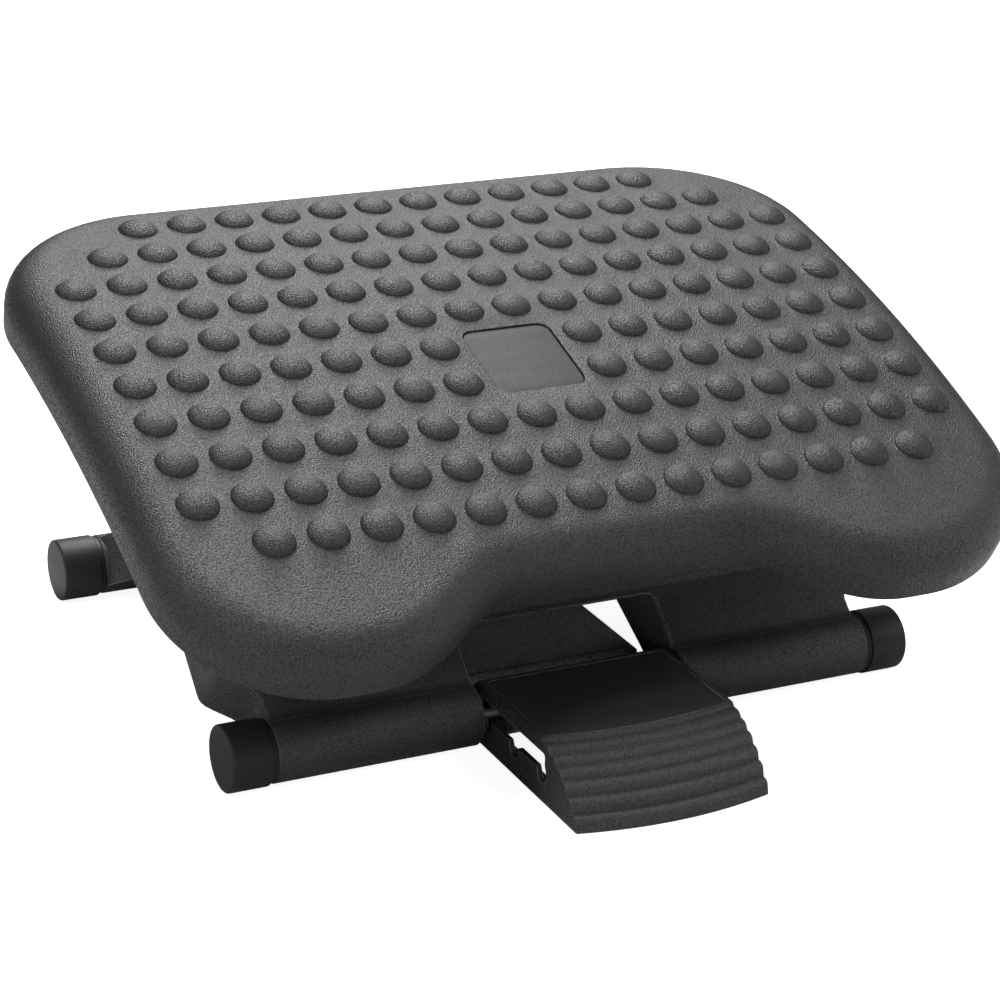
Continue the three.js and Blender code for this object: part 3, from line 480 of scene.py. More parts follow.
def slow_drift():
    """Broad, soft differences over a moulding or a coat, about 0 to 1."""
    group, entry, leave, where = new_group(
        "slow drift", {"Size mm": 60.0, "Contrast": 1.0}, ("Value", "Smear")
    )
    rate = math_node(group, "DIVIDE", 1 / MM, entry["Size mm"])
    broad = noise(group, where, rate, 4.0, 0.6)["Fac"]
    centred = math_node(group, "SUBTRACT", broad, 0.5)
    value = math_node(group, "MULTIPLY_ADD", centred, entry["Contrast"], 0.5, clamp=True)
    group.links.new(value, leave["Value"])
    links = {"Vector": where, "Rotation": (0.3, 0.2, 0.9), "Scale": (1, 9, 3)}
    stretched = add_node(group, "ShaderNodeMapping", links).outputs[0]
    group.links.new(noise(group, stretched, rate, 5.0, 0.7)["Fac"], leave["Smear"])
    return group


def edge_wear_and_painted_light():
    """Mask: edges that stand out, where the surface turns away from a rounded one; the light
    colour given there is partly wear and partly a painted highlight. Hollow: creases that
    little light reaches, darkened there as painted shade."""
    group, entry, leave, where = new_group(
        "edge wear with painted highlight and shade", {"Width mm": 0.6, "Strength": 1.0}, ("Mask", "Hollow")
    )
    radius = math_node(group, "MULTIPLY", entry["Width mm"], MM)
    rounded = add_node(group, "ShaderNodeBevel", {"Radius": radius}, samples=6)
    facing = group.nodes.new("ShaderNodeNewGeometry")
    links = {0: rounded.outputs[0], 1: facing.outputs["Normal"]}
    match = add_node(group, "ShaderNodeVectorMath", links, operation="DOT_PRODUCT")
    apart = math_node(group, "SUBTRACT", 1.0, match.outputs["Value"])
    patchy = remap(group, noise(group, where, 260.0, 3.0)["Fac"], 0.3, 0.7)
    reach = {"Distance": math_node(group, "MULTIPLY", radius, 4.0)}
    sky = add_node(
        group, "ShaderNodeAmbientOcclusion", reach, samples=4, only_local=True
    ).outputs["AO"]
    # Painted shade: creases that the occlusion finds are marked for a darker colour
    group.links.new(remap(group, sky, 0.95, 0.6), leave["Hollow"])
    # Painted highlight and wear: outward edges, patchy, are marked for the light edge colour
    outward = math_node(group, "MULTIPLY", apart, remap(group, sky, 0.75, 0.95))
    worn_and_highlit = math_node(group, "MULTIPLY", outward, patchy)
    mask = math_node(group, "MULTIPLY", worn_and_highlit, entry["Strength"], clamp=True)
    group.links.new(mask, leave["Mask"])
    return group


GRAIN = pebble_grain()
DRIFT = slow_drift()
EDGE_WEAR_AND_PAINTED_LIGHT = edge_wear_and_painted_light()
DRIFT_CONTRAST = 1.6
# Share of a finish's dark colour that painted shade in creases and pits darkens to
SHADED_SHARE = 0.1
PIT_DULLNESS = 0.4


def place_group(tree, group, **values):
    """Outputs of a node group put into a material, with its inputs by their names."""
    node = tree.nodes.new("ShaderNodeGroup")
    node.node_tree = group
    for key, value in values.items():
        node.inputs[key.replace("_", " ")].default_value = value
    return node.outputs


def mixed_colour(tree, share, first, second):
    """Colour between two others."""
    node = add_node(tree, "ShaderNodeMix", {0: share}, data_type="RGBA")
    for index, value in ((6, first), (7, second)):
        if isinstance(value, bpy.types.NodeSocket):
            tree.links.new(value, node.inputs[index])
        else:
            node.inputs[index].default_value = (*value, 1)
    return node.outputs[2]


def finish(
    slot, name, colours, roughness, grain, edge_wear_and_highlight=(0.8, 0.6), pit_shade=0.0, drift_mm=60.0,
    roughness_spread=0.12, specular=0.5, metallic=0.0,
):
    """A moulded, painted or plated surface and its slot. Colours are a dark and a light
    one that drift into each other, and the one of edges, which is partly wear and partly
    a painted highlight. Grain is its size and depth in millimetres and its share of fine
    noise, and edge_wear_and_highlight its strength and width. Creases, and by pit_shade
    the grain's pits, are darkened as painted shade."""
    material = bpy.data.materials.new(name)
    material.use_nodes = True
    tree = material.node_tree
    shader = tree.nodes["Principled BSDF"].inputs
    shader["Metallic"].default_value = metallic
    shader["Specular IOR Level"].default_value = specular
    dark, light, worn_and_highlit = colours
    shaded = tuple(SHADED_SHARE * x for x in dark)
    grain_mm, grain_depth, fine_share = grain
    drift = place_group(tree, DRIFT, Size_mm=drift_mm, Contrast=DRIFT_CONTRAST)
    pebbles = place_group(tree, GRAIN, Size_mm=grain_mm, Fine_share=fine_share)
    edges = place_group(tree, EDGE_WEAR_AND_PAINTED_LIGHT, Width_mm=edge_wear_and_highlight[1], Strength=edge_wear_and_highlight[0])
    colour = mixed_colour(tree, drift["Value"], dark, light)
    # Painted shade: the grain's pits are darkened towards the shaded colour
    if pit_shade:
        pits = math_node(tree, "MULTIPLY", pebbles["Pits"], pit_shade)
        colour = mixed_colour(tree, pits, colour, shaded)
    # Painted shade in creases, then the edge colour: partly wear, partly a painted highlight
    colour = mixed_colour(tree, edges["Hollow"], colour, shaded)
    colour = mixed_colour(tree, edges["Mask"], colour, worn_and_highlit)
    tree.links.new(colour, shader["Base Color"])
    half = roughness_spread / 2
    spread = remap(tree, drift["Smear"], 0.0, 1.0, roughness - half, roughness + half)
    duller = math_node(tree, "MULTIPLY", pebbles["Pits"], PIT_DULLNESS * pit_shade)
    tree.links.new(math_node(tree, "ADD", spread, duller, clamp=True), shader["Roughness"])
    links = {"Height": pebbles["Height"], "Distance": grain_depth * MM, "Strength": 1.0}
    bump = add_node(tree, "ShaderNodeBump", links)
    tree.links.new(bump.outputs[0], shader["Normal"])
    return slot, material


def greys(dark, light, worn_and_highlit, blue=0.0005):
    """Three near-greys, the first two with a little more blue."""
    return (dark, dark, dark + blue), (light, light, light + blue), (worn_and_highlit, worn_and_highlit, worn_and_highlit)


# In these finishes pit_shade paints shade into the grain's pits
DECK_PLASTIC = finish(
    "deck_plastic", "charcoal grained plastic", greys(0.019, 0.025, 0.10), 0.29,
    (0.8, 0.34, 0.5), edge_wear_and_highlight=(1.6, 0.6), pit_shade=0.95,
)
RIB_PLASTIC = finish(
    "deck_plastic", "charcoal plastic underside", greys(0.022, 0.030, 0.06), 0.42,
    (2.4, 0.03, 0.35), edge_wear_and_highlight=(1.0, 0.6),
)
BADGE_PLASTIC = finish(
    "badge_plastic", "smooth charcoal plate", greys(0.012, 0.017, 0.08), 0.60,
    (0.6, 0.12, 0.35), edge_wear_and_highlight=(1.5, 0.4), pit_shade=0.3,
)
# Its light rib crests are partly wear and partly a painted highlight
PEDAL_PLASTIC = finish(
    "smooth_plastic", "satin black pedal plastic", greys(0.036, 0.047, 0.34), 0.40,
    (0.8, 0.2, 0.35), edge_wear_and_highlight=(6.0, 0.7), pit_shade=0.7,
)
CAP_PLASTIC = finish(
    "smooth_plastic", "black cap plastic", greys(0.013, 0.018, 0.10), 0.5,
    (0.7, 0.08, 0.35), edge_wear_and_highlight=(2.0, 0.6), specular=0.3,
)
COVER_PLASTIC = finish(
    "smooth_plastic", "smooth black cover", greys(0.026, 0.034, 0.16), 0.33,
    (0.5, 0.015, 0.35), edge_wear_and_highlight=(2.0, 0.4), roughness_spread=0.08,
)
NYLON = finish(
    "nylon", "black nylon", greys(0.010, 0.016, 0.04, blue=0), 0.55, (0.6, 0.02, 0.35)
)
# Its light lines on bends and the joggle are partly wear and partly a painted highlight
PAINTED_STEEL = finish(
    "painted_steel", "black textured powder coat", greys(0.034, 0.045, 0.36), 0.40,
    (0.8, 0.2, 0.6), edge_wear_and_highlight=(9.0, 0.7), pit_shade=0.8, drift_mm=90.0,
)
# Painted light: this coat is made far lighter than the legs' coat, to stand in for light on the tie
# under the platform
LIGHTENED_TIE_STEEL = finish(
    "painted_steel", "coarse grey coat lightened as painted light", greys(0.28, 0.37, 0.45, blue=0.003), 0.5,
    (0.9, 0.35, 0.7), edge_wear_and_highlight=(1.5, 0.6), pit_shade=0.7, drift_mm=40.0,
)
PLAIN_STEEL = finish(
    "plain_steel", "dull zinc plate",
    ((0.42, 0.43, 0.44), (0.58, 0.59, 0.60), (0.75, 0.75, 0.76)), 0.38,
    (0.6, 0.02, 0.35), edge_wear_and_highlight=(0.5, 0.3), drift_mm=9.0, metallic=1.0,
)

# ---------------------------------------------------------------- platform

DECK_HALF_WIDTH = 225
DECK_REAR = 163
LOBE_FRONT = 198
NOTCH_FRONT = 161
NOTCH_HALF_FLAT = 58
LOBE_REACH = 85
REAR_CORNER = 88
FRONT_CORNER = 74
ARCH_RADIUS = 889
SKIRT_DEPTH = 30
DECK_WALL = 3
EDGE_ROUND = 20
LIP_ROUND = 1
LOBE_SHARE, NOTCH_SHARE = 0.3, 0.5

DOME_PITCH_Y = 28.4
DOME_RADIUS = 9.9
DOME_HEIGHT = 4.8
DOME_COLUMNS = 16
DOMES_LEFT_OFF = np.array([1, 0, 0, 0, 0, 0, 0, 0, 1, 2])
ROWS_BEFORE_BADGE = 3
DOME_PITCH_X = (DECK_HALF_WIDTH - 30) / ((DOME_COLUMNS - 1) / 2)
DOME_FULLNESS = 0.67
DOME_SIDES = 24
DOME_FOOT = 0.5
# Share of the foot's width, and height above the platform
FOOT_FILLET = np.array([[0.12, 0.28], [0.45, 0.07], [1, 0]])
DOME_ANGLES = np.radians([1.5, 7, 14, 22, 31, 40, 50, 60, 70, 79, 86])

BADGE_HALF = np.array([23.5, 25.0])
BADGE_CORNER = 6
BADGE_THICKNESS = 1.6
BADGE_SUNK = 0.85
BADGE_EASE = 0.45
BADGE_RIM = 3
BADGE_PAD_DEPTH = 5
BADGE_PAD_EASE = 0.5
BADGE_ALONG = (ROWS_BEFORE_BADGE + 0.5 - (len(DOMES_LEFT_OFF) - 1) / 2) * DOME_PITCH_Y
BADGE_CENTRE = np.array([0, BADGE_ALONG])
POCKET_FLOOR = -BADGE_THICKNESS - SEAT_GAP
POCKET_EASE = 0.5

RIB_DEPTH = 13
RIB_WALL = 2.4
RIB_ROUND = 0.7
RIB_LEAST_DEPTH = 0.6
RIB_SPACING = (72, 58)
# Keeps a rib's line clear of the outline's own points
ASIDE = 0.01
DECK_BOSS_RADIUS = 5.5
DECK_BOSS_DEPTH = 18
DECK_BORE_END = -5
SCREW_BORE = 2.3
# How far parts of one piece run into each other
LAP = 0.5
# Clear ways round the points that fill the top: from its edge, the plate and the domes
EDGE_CLEAR, PLATE_CLEAR, DOME_CLEAR = 3, 4, 1


def on_arch(flat, height):
    """Place on the arched platform: the angle is the way along over the arch's radius,
    and (y, z) = (radius + height)(sin, cos), less the radius."""
    across, along = np.moveaxis(flat, -1, 0)
    angle = along / ARCH_RADIUS
    y, z = (ARCH_RADIUS + height) * np.stack([np.sin(angle), np.cos(angle)])
    return np.stack([across, y, z - ARCH_RADIUS], -1)


def spaced(start, end, step):
    """Shares from 0 up to but without 1, about a step's length apart."""
    count = max(1, int(round(abs(end - start) / step)))
    return np.arange(count) / count


def left_outline(inset):
    """Left half of the outline, from the middle of the notch to the middle of the rear
    edge: straight, a cubic bend, straight, round corner, straight, round corner, straight."""
    lobe_inner = DECK_HALF_WIDTH - LOBE_REACH
    run = lobe_inner - NOTCH_HALF_FLAT
    controls = np.array(
        [
            [-NOTCH_HALF_FLAT, -NOTCH_FRONT],
            [-NOTCH_HALF_FLAT - run * LOBE_SHARE, -NOTCH_FRONT],
            [-lobe_inner + run * NOTCH_SHARE, -LOBE_FRONT],
            [-lobe_inner, -LOBE_FRONT],
        ]
    )
    t = np.linspace(0, 1, 25)
    slope = bezier(np.diff(controls, axis=0), t)
    slope /= np.linalg.norm(slope, axis=1, keepdims=True)
    bend = bezier(controls, t) + inset * np.column_stack([slope[:, 1], -slope[:, 0]])
    front = np.array([-DECK_HALF_WIDTH + FRONT_CORNER, -LOBE_FRONT + FRONT_CORNER])
    rear = np.array([-DECK_HALF_WIDTH + REAR_CORNER, DECK_REAR - REAR_CORNER])
    side = lerp(front[1], rear[1], spaced(front[1], rear[1], 10))[1:]
    notch_x = -NOTCH_HALF_FLAT * spaced(0, NOTCH_HALF_FLAT, 12)
    rear_x = lerp(0, rear[0], spaced(0, rear[0], 12))[::-1]
    return in_a_row(
        at_height(notch_x, -NOTCH_FRONT + inset),
        bend,
        arc(front, FRONT_CORNER - inset, 270, 180, 31),
        np.column_stack([0 * side - DECK_HALF_WIDTH + inset, side]),
        arc(rear, REAR_CORNER - inset, 180, 90, 35),
        at_height(rear_x, DECK_REAR - inset),
    )


def platform_outline(inset):
    """The whole outline, counter-clockwise seen from above."""
    left = left_outline(inset)
    return np.vstack([left[:1], left[1:-1] * (-1, 1), left[-1:], left[-2:0:-1]])


def dome_centres():
    """Rows of domes along the arch, less those left off at the ends and at the plate."""
    rows, columns = np.arange(len(DOMES_LEFT_OFF)), np.arange(DOME_COLUMNS)
    row, column = np.meshgrid(rows, columns, indexing="ij")
    x = (column - (DOME_COLUMNS - 1) / 2) * DOME_PITCH_X
    along = (row - (len(rows) - 1) / 2) * DOME_PITCH_Y
    left_off = DOMES_LEFT_OFF[row]
    kept = (column >= left_off) & (column < DOME_COLUMNS - left_off)
    plate_rows = (row == ROWS_BEFORE_BADGE) | (row == ROWS_BEFORE_BADGE + 1)
    kept &= ~(plate_rows & (np.abs(x) < DOME_PITCH_X))
    return np.column_stack([x[kept], along[kept]])


def dome_field(centres):
    """Every dome at once: height = h (1 - (r / R)^2)^p out to its foot, then a short
    fillet down to the platform."""
    radius = DOME_RADIUS * np.sin(DOME_ANGLES)
    height = DOME_HEIGHT * np.cos(DOME_ANGLES) ** (2 * DOME_FULLNESS)
    radius = np.concatenate([radius, DOME_RADIUS + DOME_FOOT * FOOT_FILLET[:, 0]])
    height = np.concatenate([height, FOOT_FILLET[:, 1]])
    angle = 2 * math.pi * np.arange(DOME_SIDES) / DOME_SIDES
    ways = np.stack([np.cos(angle), np.sin(angle)], -1)
    flat = centres[:, None, None] + radius[:, None, None] * ways
    one = quads(len(radius), DOME_SIDES, around=True)
    starts = np.arange(len(centres))[:, None, None] * len(radius) * DOME_SIDES
    points = on_arch(flat, height[:, None])
    return (points.reshape(-1, 3), [(one[None] + starts).reshape(-1, 4)]), flat[:, -1]


def platform_shell():
    """Arched top with its domes and pocket, a rounded edge, a skirt with an eased lip,
    and the inner face that follows it all at a wall's distance."""
    centres = dome_centres()
    domes, feet = dome_field(centres)
    pocket = rounded_box(*(BADGE_HALF + SEAT_GAP), BADGE_CORNER + SEAT_GAP) + BADGE_CENTRE
    mouth = set_in(pocket, -POCKET_EASE)
    lattice = grid_of(np.arange(-9, 10) * DOME_PITCH_X, np.arange(-8, 9) * DOME_PITCH_Y)
    lattice = np.vstack([lattice, platform_outline(EDGE_ROUND + EDGE_CLEAR + 2)[::2]])
    clear = inside(platform_outline(EDGE_ROUND + EDGE_CLEAR), lattice)
    clear &= ~inside(set_in(mouth, -PLATE_CLEAR), lattice)
    away = np.linalg.norm(lattice[:, None] - centres[None], axis=2).min(1)
    clear &= away > DOME_RADIUS + DOME_FOOT + DOME_CLEAR
    flat, faces = filled([platform_outline(EDGE_ROUND), mouth, *feet], lattice[clear])
    top = (on_arch(flat, 0), [faces])

    # Inset and depth: down the edge and the skirt, round the lip and up inside
    foot = SKIRT_DEPTH - LIP_ROUND
    drop = np.linspace(EDGE_ROUND, foot, 4)[1:-1]
    profile = in_a_row(
        arc((EDGE_ROUND, EDGE_ROUND), EDGE_ROUND, 270, 180, 11),
        np.column_stack([0 * drop, drop]),
        arc((LIP_ROUND, foot), LIP_ROUND, 180, 90, 5),
        arc((DECK_WALL - LIP_ROUND, foot), LIP_ROUND, 90, 0, 5),
        np.column_stack([0 * drop + DECK_WALL, drop[::-1]]),
        arc((EDGE_ROUND, EDGE_ROUND), EDGE_ROUND - DECK_WALL, 180, 270, 11),
    )
    rings = [platform_outline(inset) for inset in profile[:, 0]]
    edge = banded(np.stack([on_arch(r, -depth) for r, depth in zip(rings, profile[:, 1])]))

    roof_ring = rings[-1]
    flat, faces = filled([roof_ring], lattice[inside(set_in(roof_ring, PLATE_CLEAR), lattice)])
    roof = (on_arch(flat, -DECK_WALL), [faces])

    walls = [
        (mouth, 0),
        (set_in(pocket, -0.3 * POCKET_EASE), -0.24 * POCKET_EASE),
        (pocket, -POCKET_EASE),
        (pocket, POCKET_FLOOR),
    ]
    pocket_wall = banded(np.stack([on_arch(ring, height) for ring, height in walls]))
    flat, faces = filled([pocket])
    floor = (on_arch(flat, POCKET_FLOOR), [faces])
    return joined(top, domes, edge, roof, pocket_wall, floor)


def span_at(ring, column, value):
    """Lowest and highest place where an outline crosses a line across or along."""
    a, b = ring, np.roll(ring, -1, 0)
    hit = (a[:, column] > value) != (b[:, column] > value)
    share = (value - a[hit, column]) / (b[hit, column] - a[hit, column])
    other = lerp(a[hit, 1 - column], b[hit, 1 - column], share)
    return other.min(), other.max()


def rib(column, value):
    """A rib under the platform, along it or across it, with an eased lower edge. Its
    upper edge follows the middle of the wall: inside the rounded edge that is
    (r^2 - (R - inset)^2)^(1/2) - R, with the edge's radius R and r half a wall less."""
    middle_round = EDGE_ROUND - DECK_WALL / 2
    reach = math.sqrt(middle_round**2 - (EDGE_ROUND - RIB_DEPTH + RIB_LEAST_DEPTH) ** 2)
    insets = EDGE_ROUND - reach * np.sin(np.radians(np.linspace(90, 0, 9)))
    tops = np.sqrt(middle_round**2 - (EDGE_ROUND - insets) ** 2) - EDGE_ROUND
    spans = np.array([span_at(platform_outline(inset), column, value) for inset in insets])
    middle = np.linspace(spans[-1, 0], spans[-1, 1], 25)[1:-1]
    along = np.concatenate([spans[:, 0], middle, spans[::-1, 1]])
    tops = np.concatenate([tops, np.full(len(middle), tops[-1]), tops[::-1]])
    places = np.full((len(along), 2), value, float)
    places[:, 1 - column] = along

    half = RIB_WALL / 2
    corners = [[-half, 0], [-half, -RIB_DEPTH], [half, -RIB_DEPTH], [half, 0]]
    section = eased_line(with_cuts(corners, RIB_ROUND))
    flat = places[:, None] + section[None, :, :1] * np.eye(2)[column]
    height = np.repeat(section[None, :, 1], len(places), 0)
    height[:, [0, -1]] = tops[:, None]
    return banded(on_arch(flat, np.minimum(height, tops[:, None])), shut=True)


ROD_IN_DECK = turn(-DECK_TILT) @ (APEX - DECK_CENTRE)
REAR_LEG_HALF = 150
FRONT_LEG_HALF = 176
BRACKET_CENTRE = REAR_LEG_HALF - 22
BRACKET_HALF_WIDTH = 12
BRACKET_SHEET = 2.5
BRACKET_HALF_BASE = 26
BRACKET_EAR = 12
BRACKET_EASE = 0.35
BRACKET_SCREW_REACH = 17
EAR_LAP = 0.6
BRACKET_TOP = -DECK_BOSS_DEPTH - SEAT_GAP
BOSS_PLACES = [
    (side * BRACKET_CENTRE, ROD_IN_DECK[1] + end * BRACKET_SCREW_REACH)
    for side in (-1, 1)
    for end in (-1, 1)
]


def screw_boss(radius, top, foot, bore_end, cuts):
    """Round boss from its top to its foot, bored for a screw from the foot up."""
    corners = [
        [0, top], [radius, top], [radius, foot],
        [SCREW_BORE, foot], [SCREW_BORE, bore_end], [0, bore_end],
    ]
    return turned(eased_line(with_cuts(corners, cuts)))


def bent_to_arch(shape):
    """A flat drawing round the plate's middle, laid along the arch."""
    points, faces = shape
    return on_arch(points[:, :2] + BADGE_CENTRE, points[:, 2]), faces


def platform_ribs():
    """Ribs both ways under the top, the pad behind the plate and the screw bosses."""
    ribs = [
        rib(column, step * RIB_SPACING[column] + ASIDE)
        for step in range(-2, 3)
        for column in (0, 1)
    ]
    pad = rounded_box(*(BADGE_HALF + SEAT_GAP + BADGE_RIM), BADGE_CORNER + BADGE_RIM)
    pad = plate([pad], -BADGE_PAD_DEPTH, -DECK_WALL + SEAT_GAP, BADGE_PAD_EASE)
    boss = screw_boss(
        DECK_BOSS_RADIUS, -DECK_WALL + LAP, -DECK_BOSS_DEPTH, DECK_BORE_END,
        [0, 0, 0.6, 0.4, 0, 0],
    )
    bosses = [moved(boss, offset=(x, y, 0)) for x, y in BOSS_PLACES]
    return joined(*ribs, bent_to_arch(pad), *bosses)


def badge_plate():
    """Bare plate that lies a little below the top, bent to the arch."""
    edge = rounded_box(*BADGE_HALF, BADGE_CORNER)
    return bent_to_arch(plate([edge], -BADGE_THICKNESS, -BADGE_SUNK, BADGE_EASE, 4))


add_piece("platform_shell", "platform", platform_shell(), DECK, DECK_PLASTIC, crease=50)
add_piece("platform_ribs", "platform", platform_ribs(), DECK, RIB_PLASTIC)
add_piece("badge_panel", "badge_plate", badge_plate(), DECK, BADGE_PLASTIC)

# ---------------------------------------------------------------- brackets and screws

ROD_BORE = 5.57
SCREW_HEAD = 3.6
SCREW_HEAD_LENGTH = 1.5
HEAD_ROUND = (0.7, 0.6)
SCREW_SHANK = 1.9
SCREW_LENGTH = 10
DRIVE_RADIUS = 1.6
DRIVE_DEPTH = 0.8


def bracket(side):
    """Base under two bosses, and two ears down to the rod, each a sheet with holes."""
    centre = side * BRACKET_CENTRE
    y, z = ROD_IN_DECK[1:]
    base_edge = rounded_box(BRACKET_HALF_WIDTH, BRACKET_HALF_BASE, BRACKET_SHEET)
    screw_holes = [hole((0, end * BRACKET_SCREW_REACH), SCREW_BORE) for end in (-1, 1)]
    base_low = BRACKET_TOP - BRACKET_SHEET
    base = plate([base_edge, *screw_holes], base_low, BRACKET_TOP, BRACKET_EASE)
    half = BRACKET_HALF_BASE - BRACKET_SHEET
    top = BRACKET_TOP - EAR_LAP
    ear = in_a_row([[y + half, top], [y - half, top]], arc((y, z), BRACKET_EAR, 180, 360, 25))
    rings = [ear, hole((y, z), ROD_BORE)]
    ears = [
        plate_across(rings, low, low + BRACKET_SHEET, BRACKET_EASE)
        for low in (centre - BRACKET_HALF_WIDTH, centre + BRACKET_HALF_WIDTH - BRACKET_SHEET)
    ]
    return joined(moved(base, offset=(centre, y, 0)), *ears)


def screw():
    """Pan head below Z = 0 with a hexagon socket, and a shank with a blunt tip."""
    low = -SEAT_GAP - SCREW_HEAD_LENGTH
    head = eased_line(
        [
            (DRIVE_RADIUS, low, 0), (SCREW_HEAD - HEAD_ROUND[0], low, 0.5),
            (SCREW_HEAD, -SEAT_GAP - HEAD_ROUND[1], 0.5), (SCREW_HEAD, -SEAT_GAP, 0.1),
            (SCREW_SHANK, -SEAT_GAP, 0.2), (SCREW_SHANK, SCREW_LENGTH - SCREW_SHANK, 0.4),
            (0, SCREW_LENGTH, 0),
        ]
    )
    drive = [[0, low + DRIVE_DEPTH], [DRIVE_RADIUS, low + DRIVE_DEPTH]]
    return turned(np.vstack([drive, head]), 36, hexagon=3)


def add_screws(name, node, places, height, stand):
    """A screw at each place, with its head under a height."""
    for index, (x, y) in enumerate(places):
        shape = moved(screw(), offset=(x, y, height))
        add_piece(f"{name}_{index + 1}", f"{node}_{index + 1}", shape, stand, PLAIN_STEEL)


for side, label in SIDES:
    add_piece(f"bracket_{label}", f"deck_bracket_{label}", bracket(side), DECK, PAINTED_STEEL)
add_screws("deck_screw_head", "deck_screw", BOSS_PLACES, BRACKET_TOP - BRACKET_SHEET, DECK)

# ---------------------------------------------------------------- legs

TUBE_RADIUS = 15.6
SHEET = 1.8
TUBE_HALF_LENGTH = 161
SHEET_OFFSET = 11
CREASE_ROUND = 8
CREASE_STEPS = 9
JOGGLE_START = 44.5
JOGGLE_END = 47.5
JOGGLE_RISE = 1.6
CUTOUT_HALF = 57
CUTOUT_TOP = 41.5
CUTOUT_CORNER = 6
SHEET_END = LEG_LENGTH - 20
SHEET_END_CORNER = 10
FRONT_FLARE, REAR_FLARE = (20, 42), (10, 26)
FRONT_FLANGE_DEPTH, REAR_FLANGE_DEPTH = 28, 19
FRONT_EAR, REAR_EAR = 17, 15
FLANGE_BEND = 2.4
LEAST_BEND = 0.02
BEND_FADE = 3
PANEL_FACE = SHEET_OFFSET + JOGGLE_RISE
# A flange's upper edge lies this far up inside the sheet's bend
HIDDEN = 0.45
DISC_RADIUS = TUBE_RADIUS - SHEET / 2
# Corners (y, z, cut) of the web drawn out of the window's side
WEB_CORNERS = [(26.4, -19.9, 6), (57.3, -27.4, 3), (63, -19.9, 2)]
WEB_REACH = 63
WEB_RETURN = 50
# The outer flange leaves the tube at an angle and a place (y, z), then its heel starts
# so far along before the flare's end and so high above the flange's depth
HEEL_ANGLE = -62
HEEL_FROM = (8, -15.4)
HEEL_RUN, HEEL_RISE = 5, 1.2
TAPER_START = 92
TOP_START = 58
JOGGLE_LEAD = 4

LOCK_RADIUS = 3
LOCK_BORE = 3.47
LOCK_FROM_TUBE = (0, -8, 3)
LOCK_PLACE = (turn(-LEG_SLOPE) @ LOCK_FROM_TUBE)[1:]
PIVOT_RADIUS = 4
PIVOT_BORE = 4.52

CAP_RADIUS = 16.25
CAP_LENGTH = 20
CAP_GROOVE = 2.8
CAP_COLLAR = 15.3
CAP_PLUG = 13
CAP_WALL = 2.3


def sheet_line():
    """Outer line of the sheet up the leg, as (along, height): round the crease from the
    tube, straight, over the joggle, straight to the end."""
    height = SHEET_OFFSET + CREASE_ROUND
    along = math.sqrt((TUBE_RADIUS + CREASE_ROUND) ** 2 - height**2)
    start = math.degrees(math.atan2(-height, -along)) + 360
    crease = arc((along, height), CREASE_ROUND, start, 270, CREASE_STEPS)
    corners = [[JOGGLE_START, SHEET_OFFSET], [JOGGLE_END, PANEL_FACE], [SHEET_END, PANEL_FACE]]
    straight = eased_line(with_cuts([crease[-1], *corners], 0.4), 3)
    return np.vstack([crease, straight[1:]])


def edge_reach(along, half_width, flare):
    """How far out the sheet's edge lies at a way up the leg: from the tube's end to the
    leg's half width over the flare, by 3 s^2 - 2 s^3."""
    return lerp(TUBE_HALF_LENGTH, half_width, smoothstep(*flare, along))


def leg_panel(half_width, flare):
    """Pressed sheet of one leg: at each way up it runs out to the edge's line, which
    flares from the tube to the flanges, and turns down there in a quarter bend; the
    window is left out of its foot."""
    line = sheet_line()
    window_low = CUTOUT_TOP - CUTOUT_CORNER
    corner_start = SHEET_END - SHEET_END_CORNER
    stations = [
        line[:, 0],
        np.linspace(line[CREASE_STEPS, 0], SHEET_END, 30),
        np.linspace(*flare, 13),
        window_low + CUTOUT_CORNER * np.sin(np.radians(np.linspace(0, 90, 8))),
        corner_start + SHEET_END_CORNER * np.sin(np.radians(np.linspace(0, 90, 9))),
    ]
    along = np.unique(np.round(np.concatenate(stations), 3))
    height = np.interp(along, line[:, 0], line[:, 1])

    over = np.clip(along - corner_start, 0, SHEET_END_CORNER)
    outer = edge_reach(along, half_width, flare) - SHEET_END_CORNER
    outer += np.sqrt(SHEET_END_CORNER**2 - over**2)
    rise = np.clip(along - window_low, 0, CUTOUT_CORNER)
    edge = CUTOUT_HALF - SHEET / 2 - CUTOUT_CORNER + np.sqrt(CUTOUT_CORNER**2 - rise**2)

    bend = FLANGE_BEND * (1 - smoothstep(corner_start - BEND_FADE, corner_start, along))
    bend = np.maximum(bend, LEAST_BEND)[:, None]
    turned_by = np.radians(np.linspace(0, 90, 6))
    flat_share = np.linspace(0, 1, 9)[:-1]
    bend_start = outer[:, None] - bend
    x = np.hstack(
        [lerp(edge[:, None], bend_start, flat_share), bend_start + bend * np.sin(turned_by)]
    )
    z = height[:, None] - np.hstack([bend * 0 * flat_share, bend * (1 - np.cos(turned_by))])
    y = np.repeat(along[:, None], x.shape[1], 1)
    wing = np.stack([x, y, z], -1)
    faces = quads(*x.shape)
    right = (wing.reshape(-1, 3), [faces])
    left = ((wing * (-1, 1, 1)).reshape(-1, 3), [faces[:, ::-1]])

    above = along >= CUTOUT_TOP - SAME_POINT
    middle_x = edge[above][:, None] * np.linspace(-1, 1, 9)
    rows = [middle_x, *[np.repeat(v[above][:, None], 9, 1) for v in (along, height)]]
    centre = (np.stack(rows, -1).reshape(-1, 3), [quads(*middle_x.shape)])
    return joined(left, centre, right)


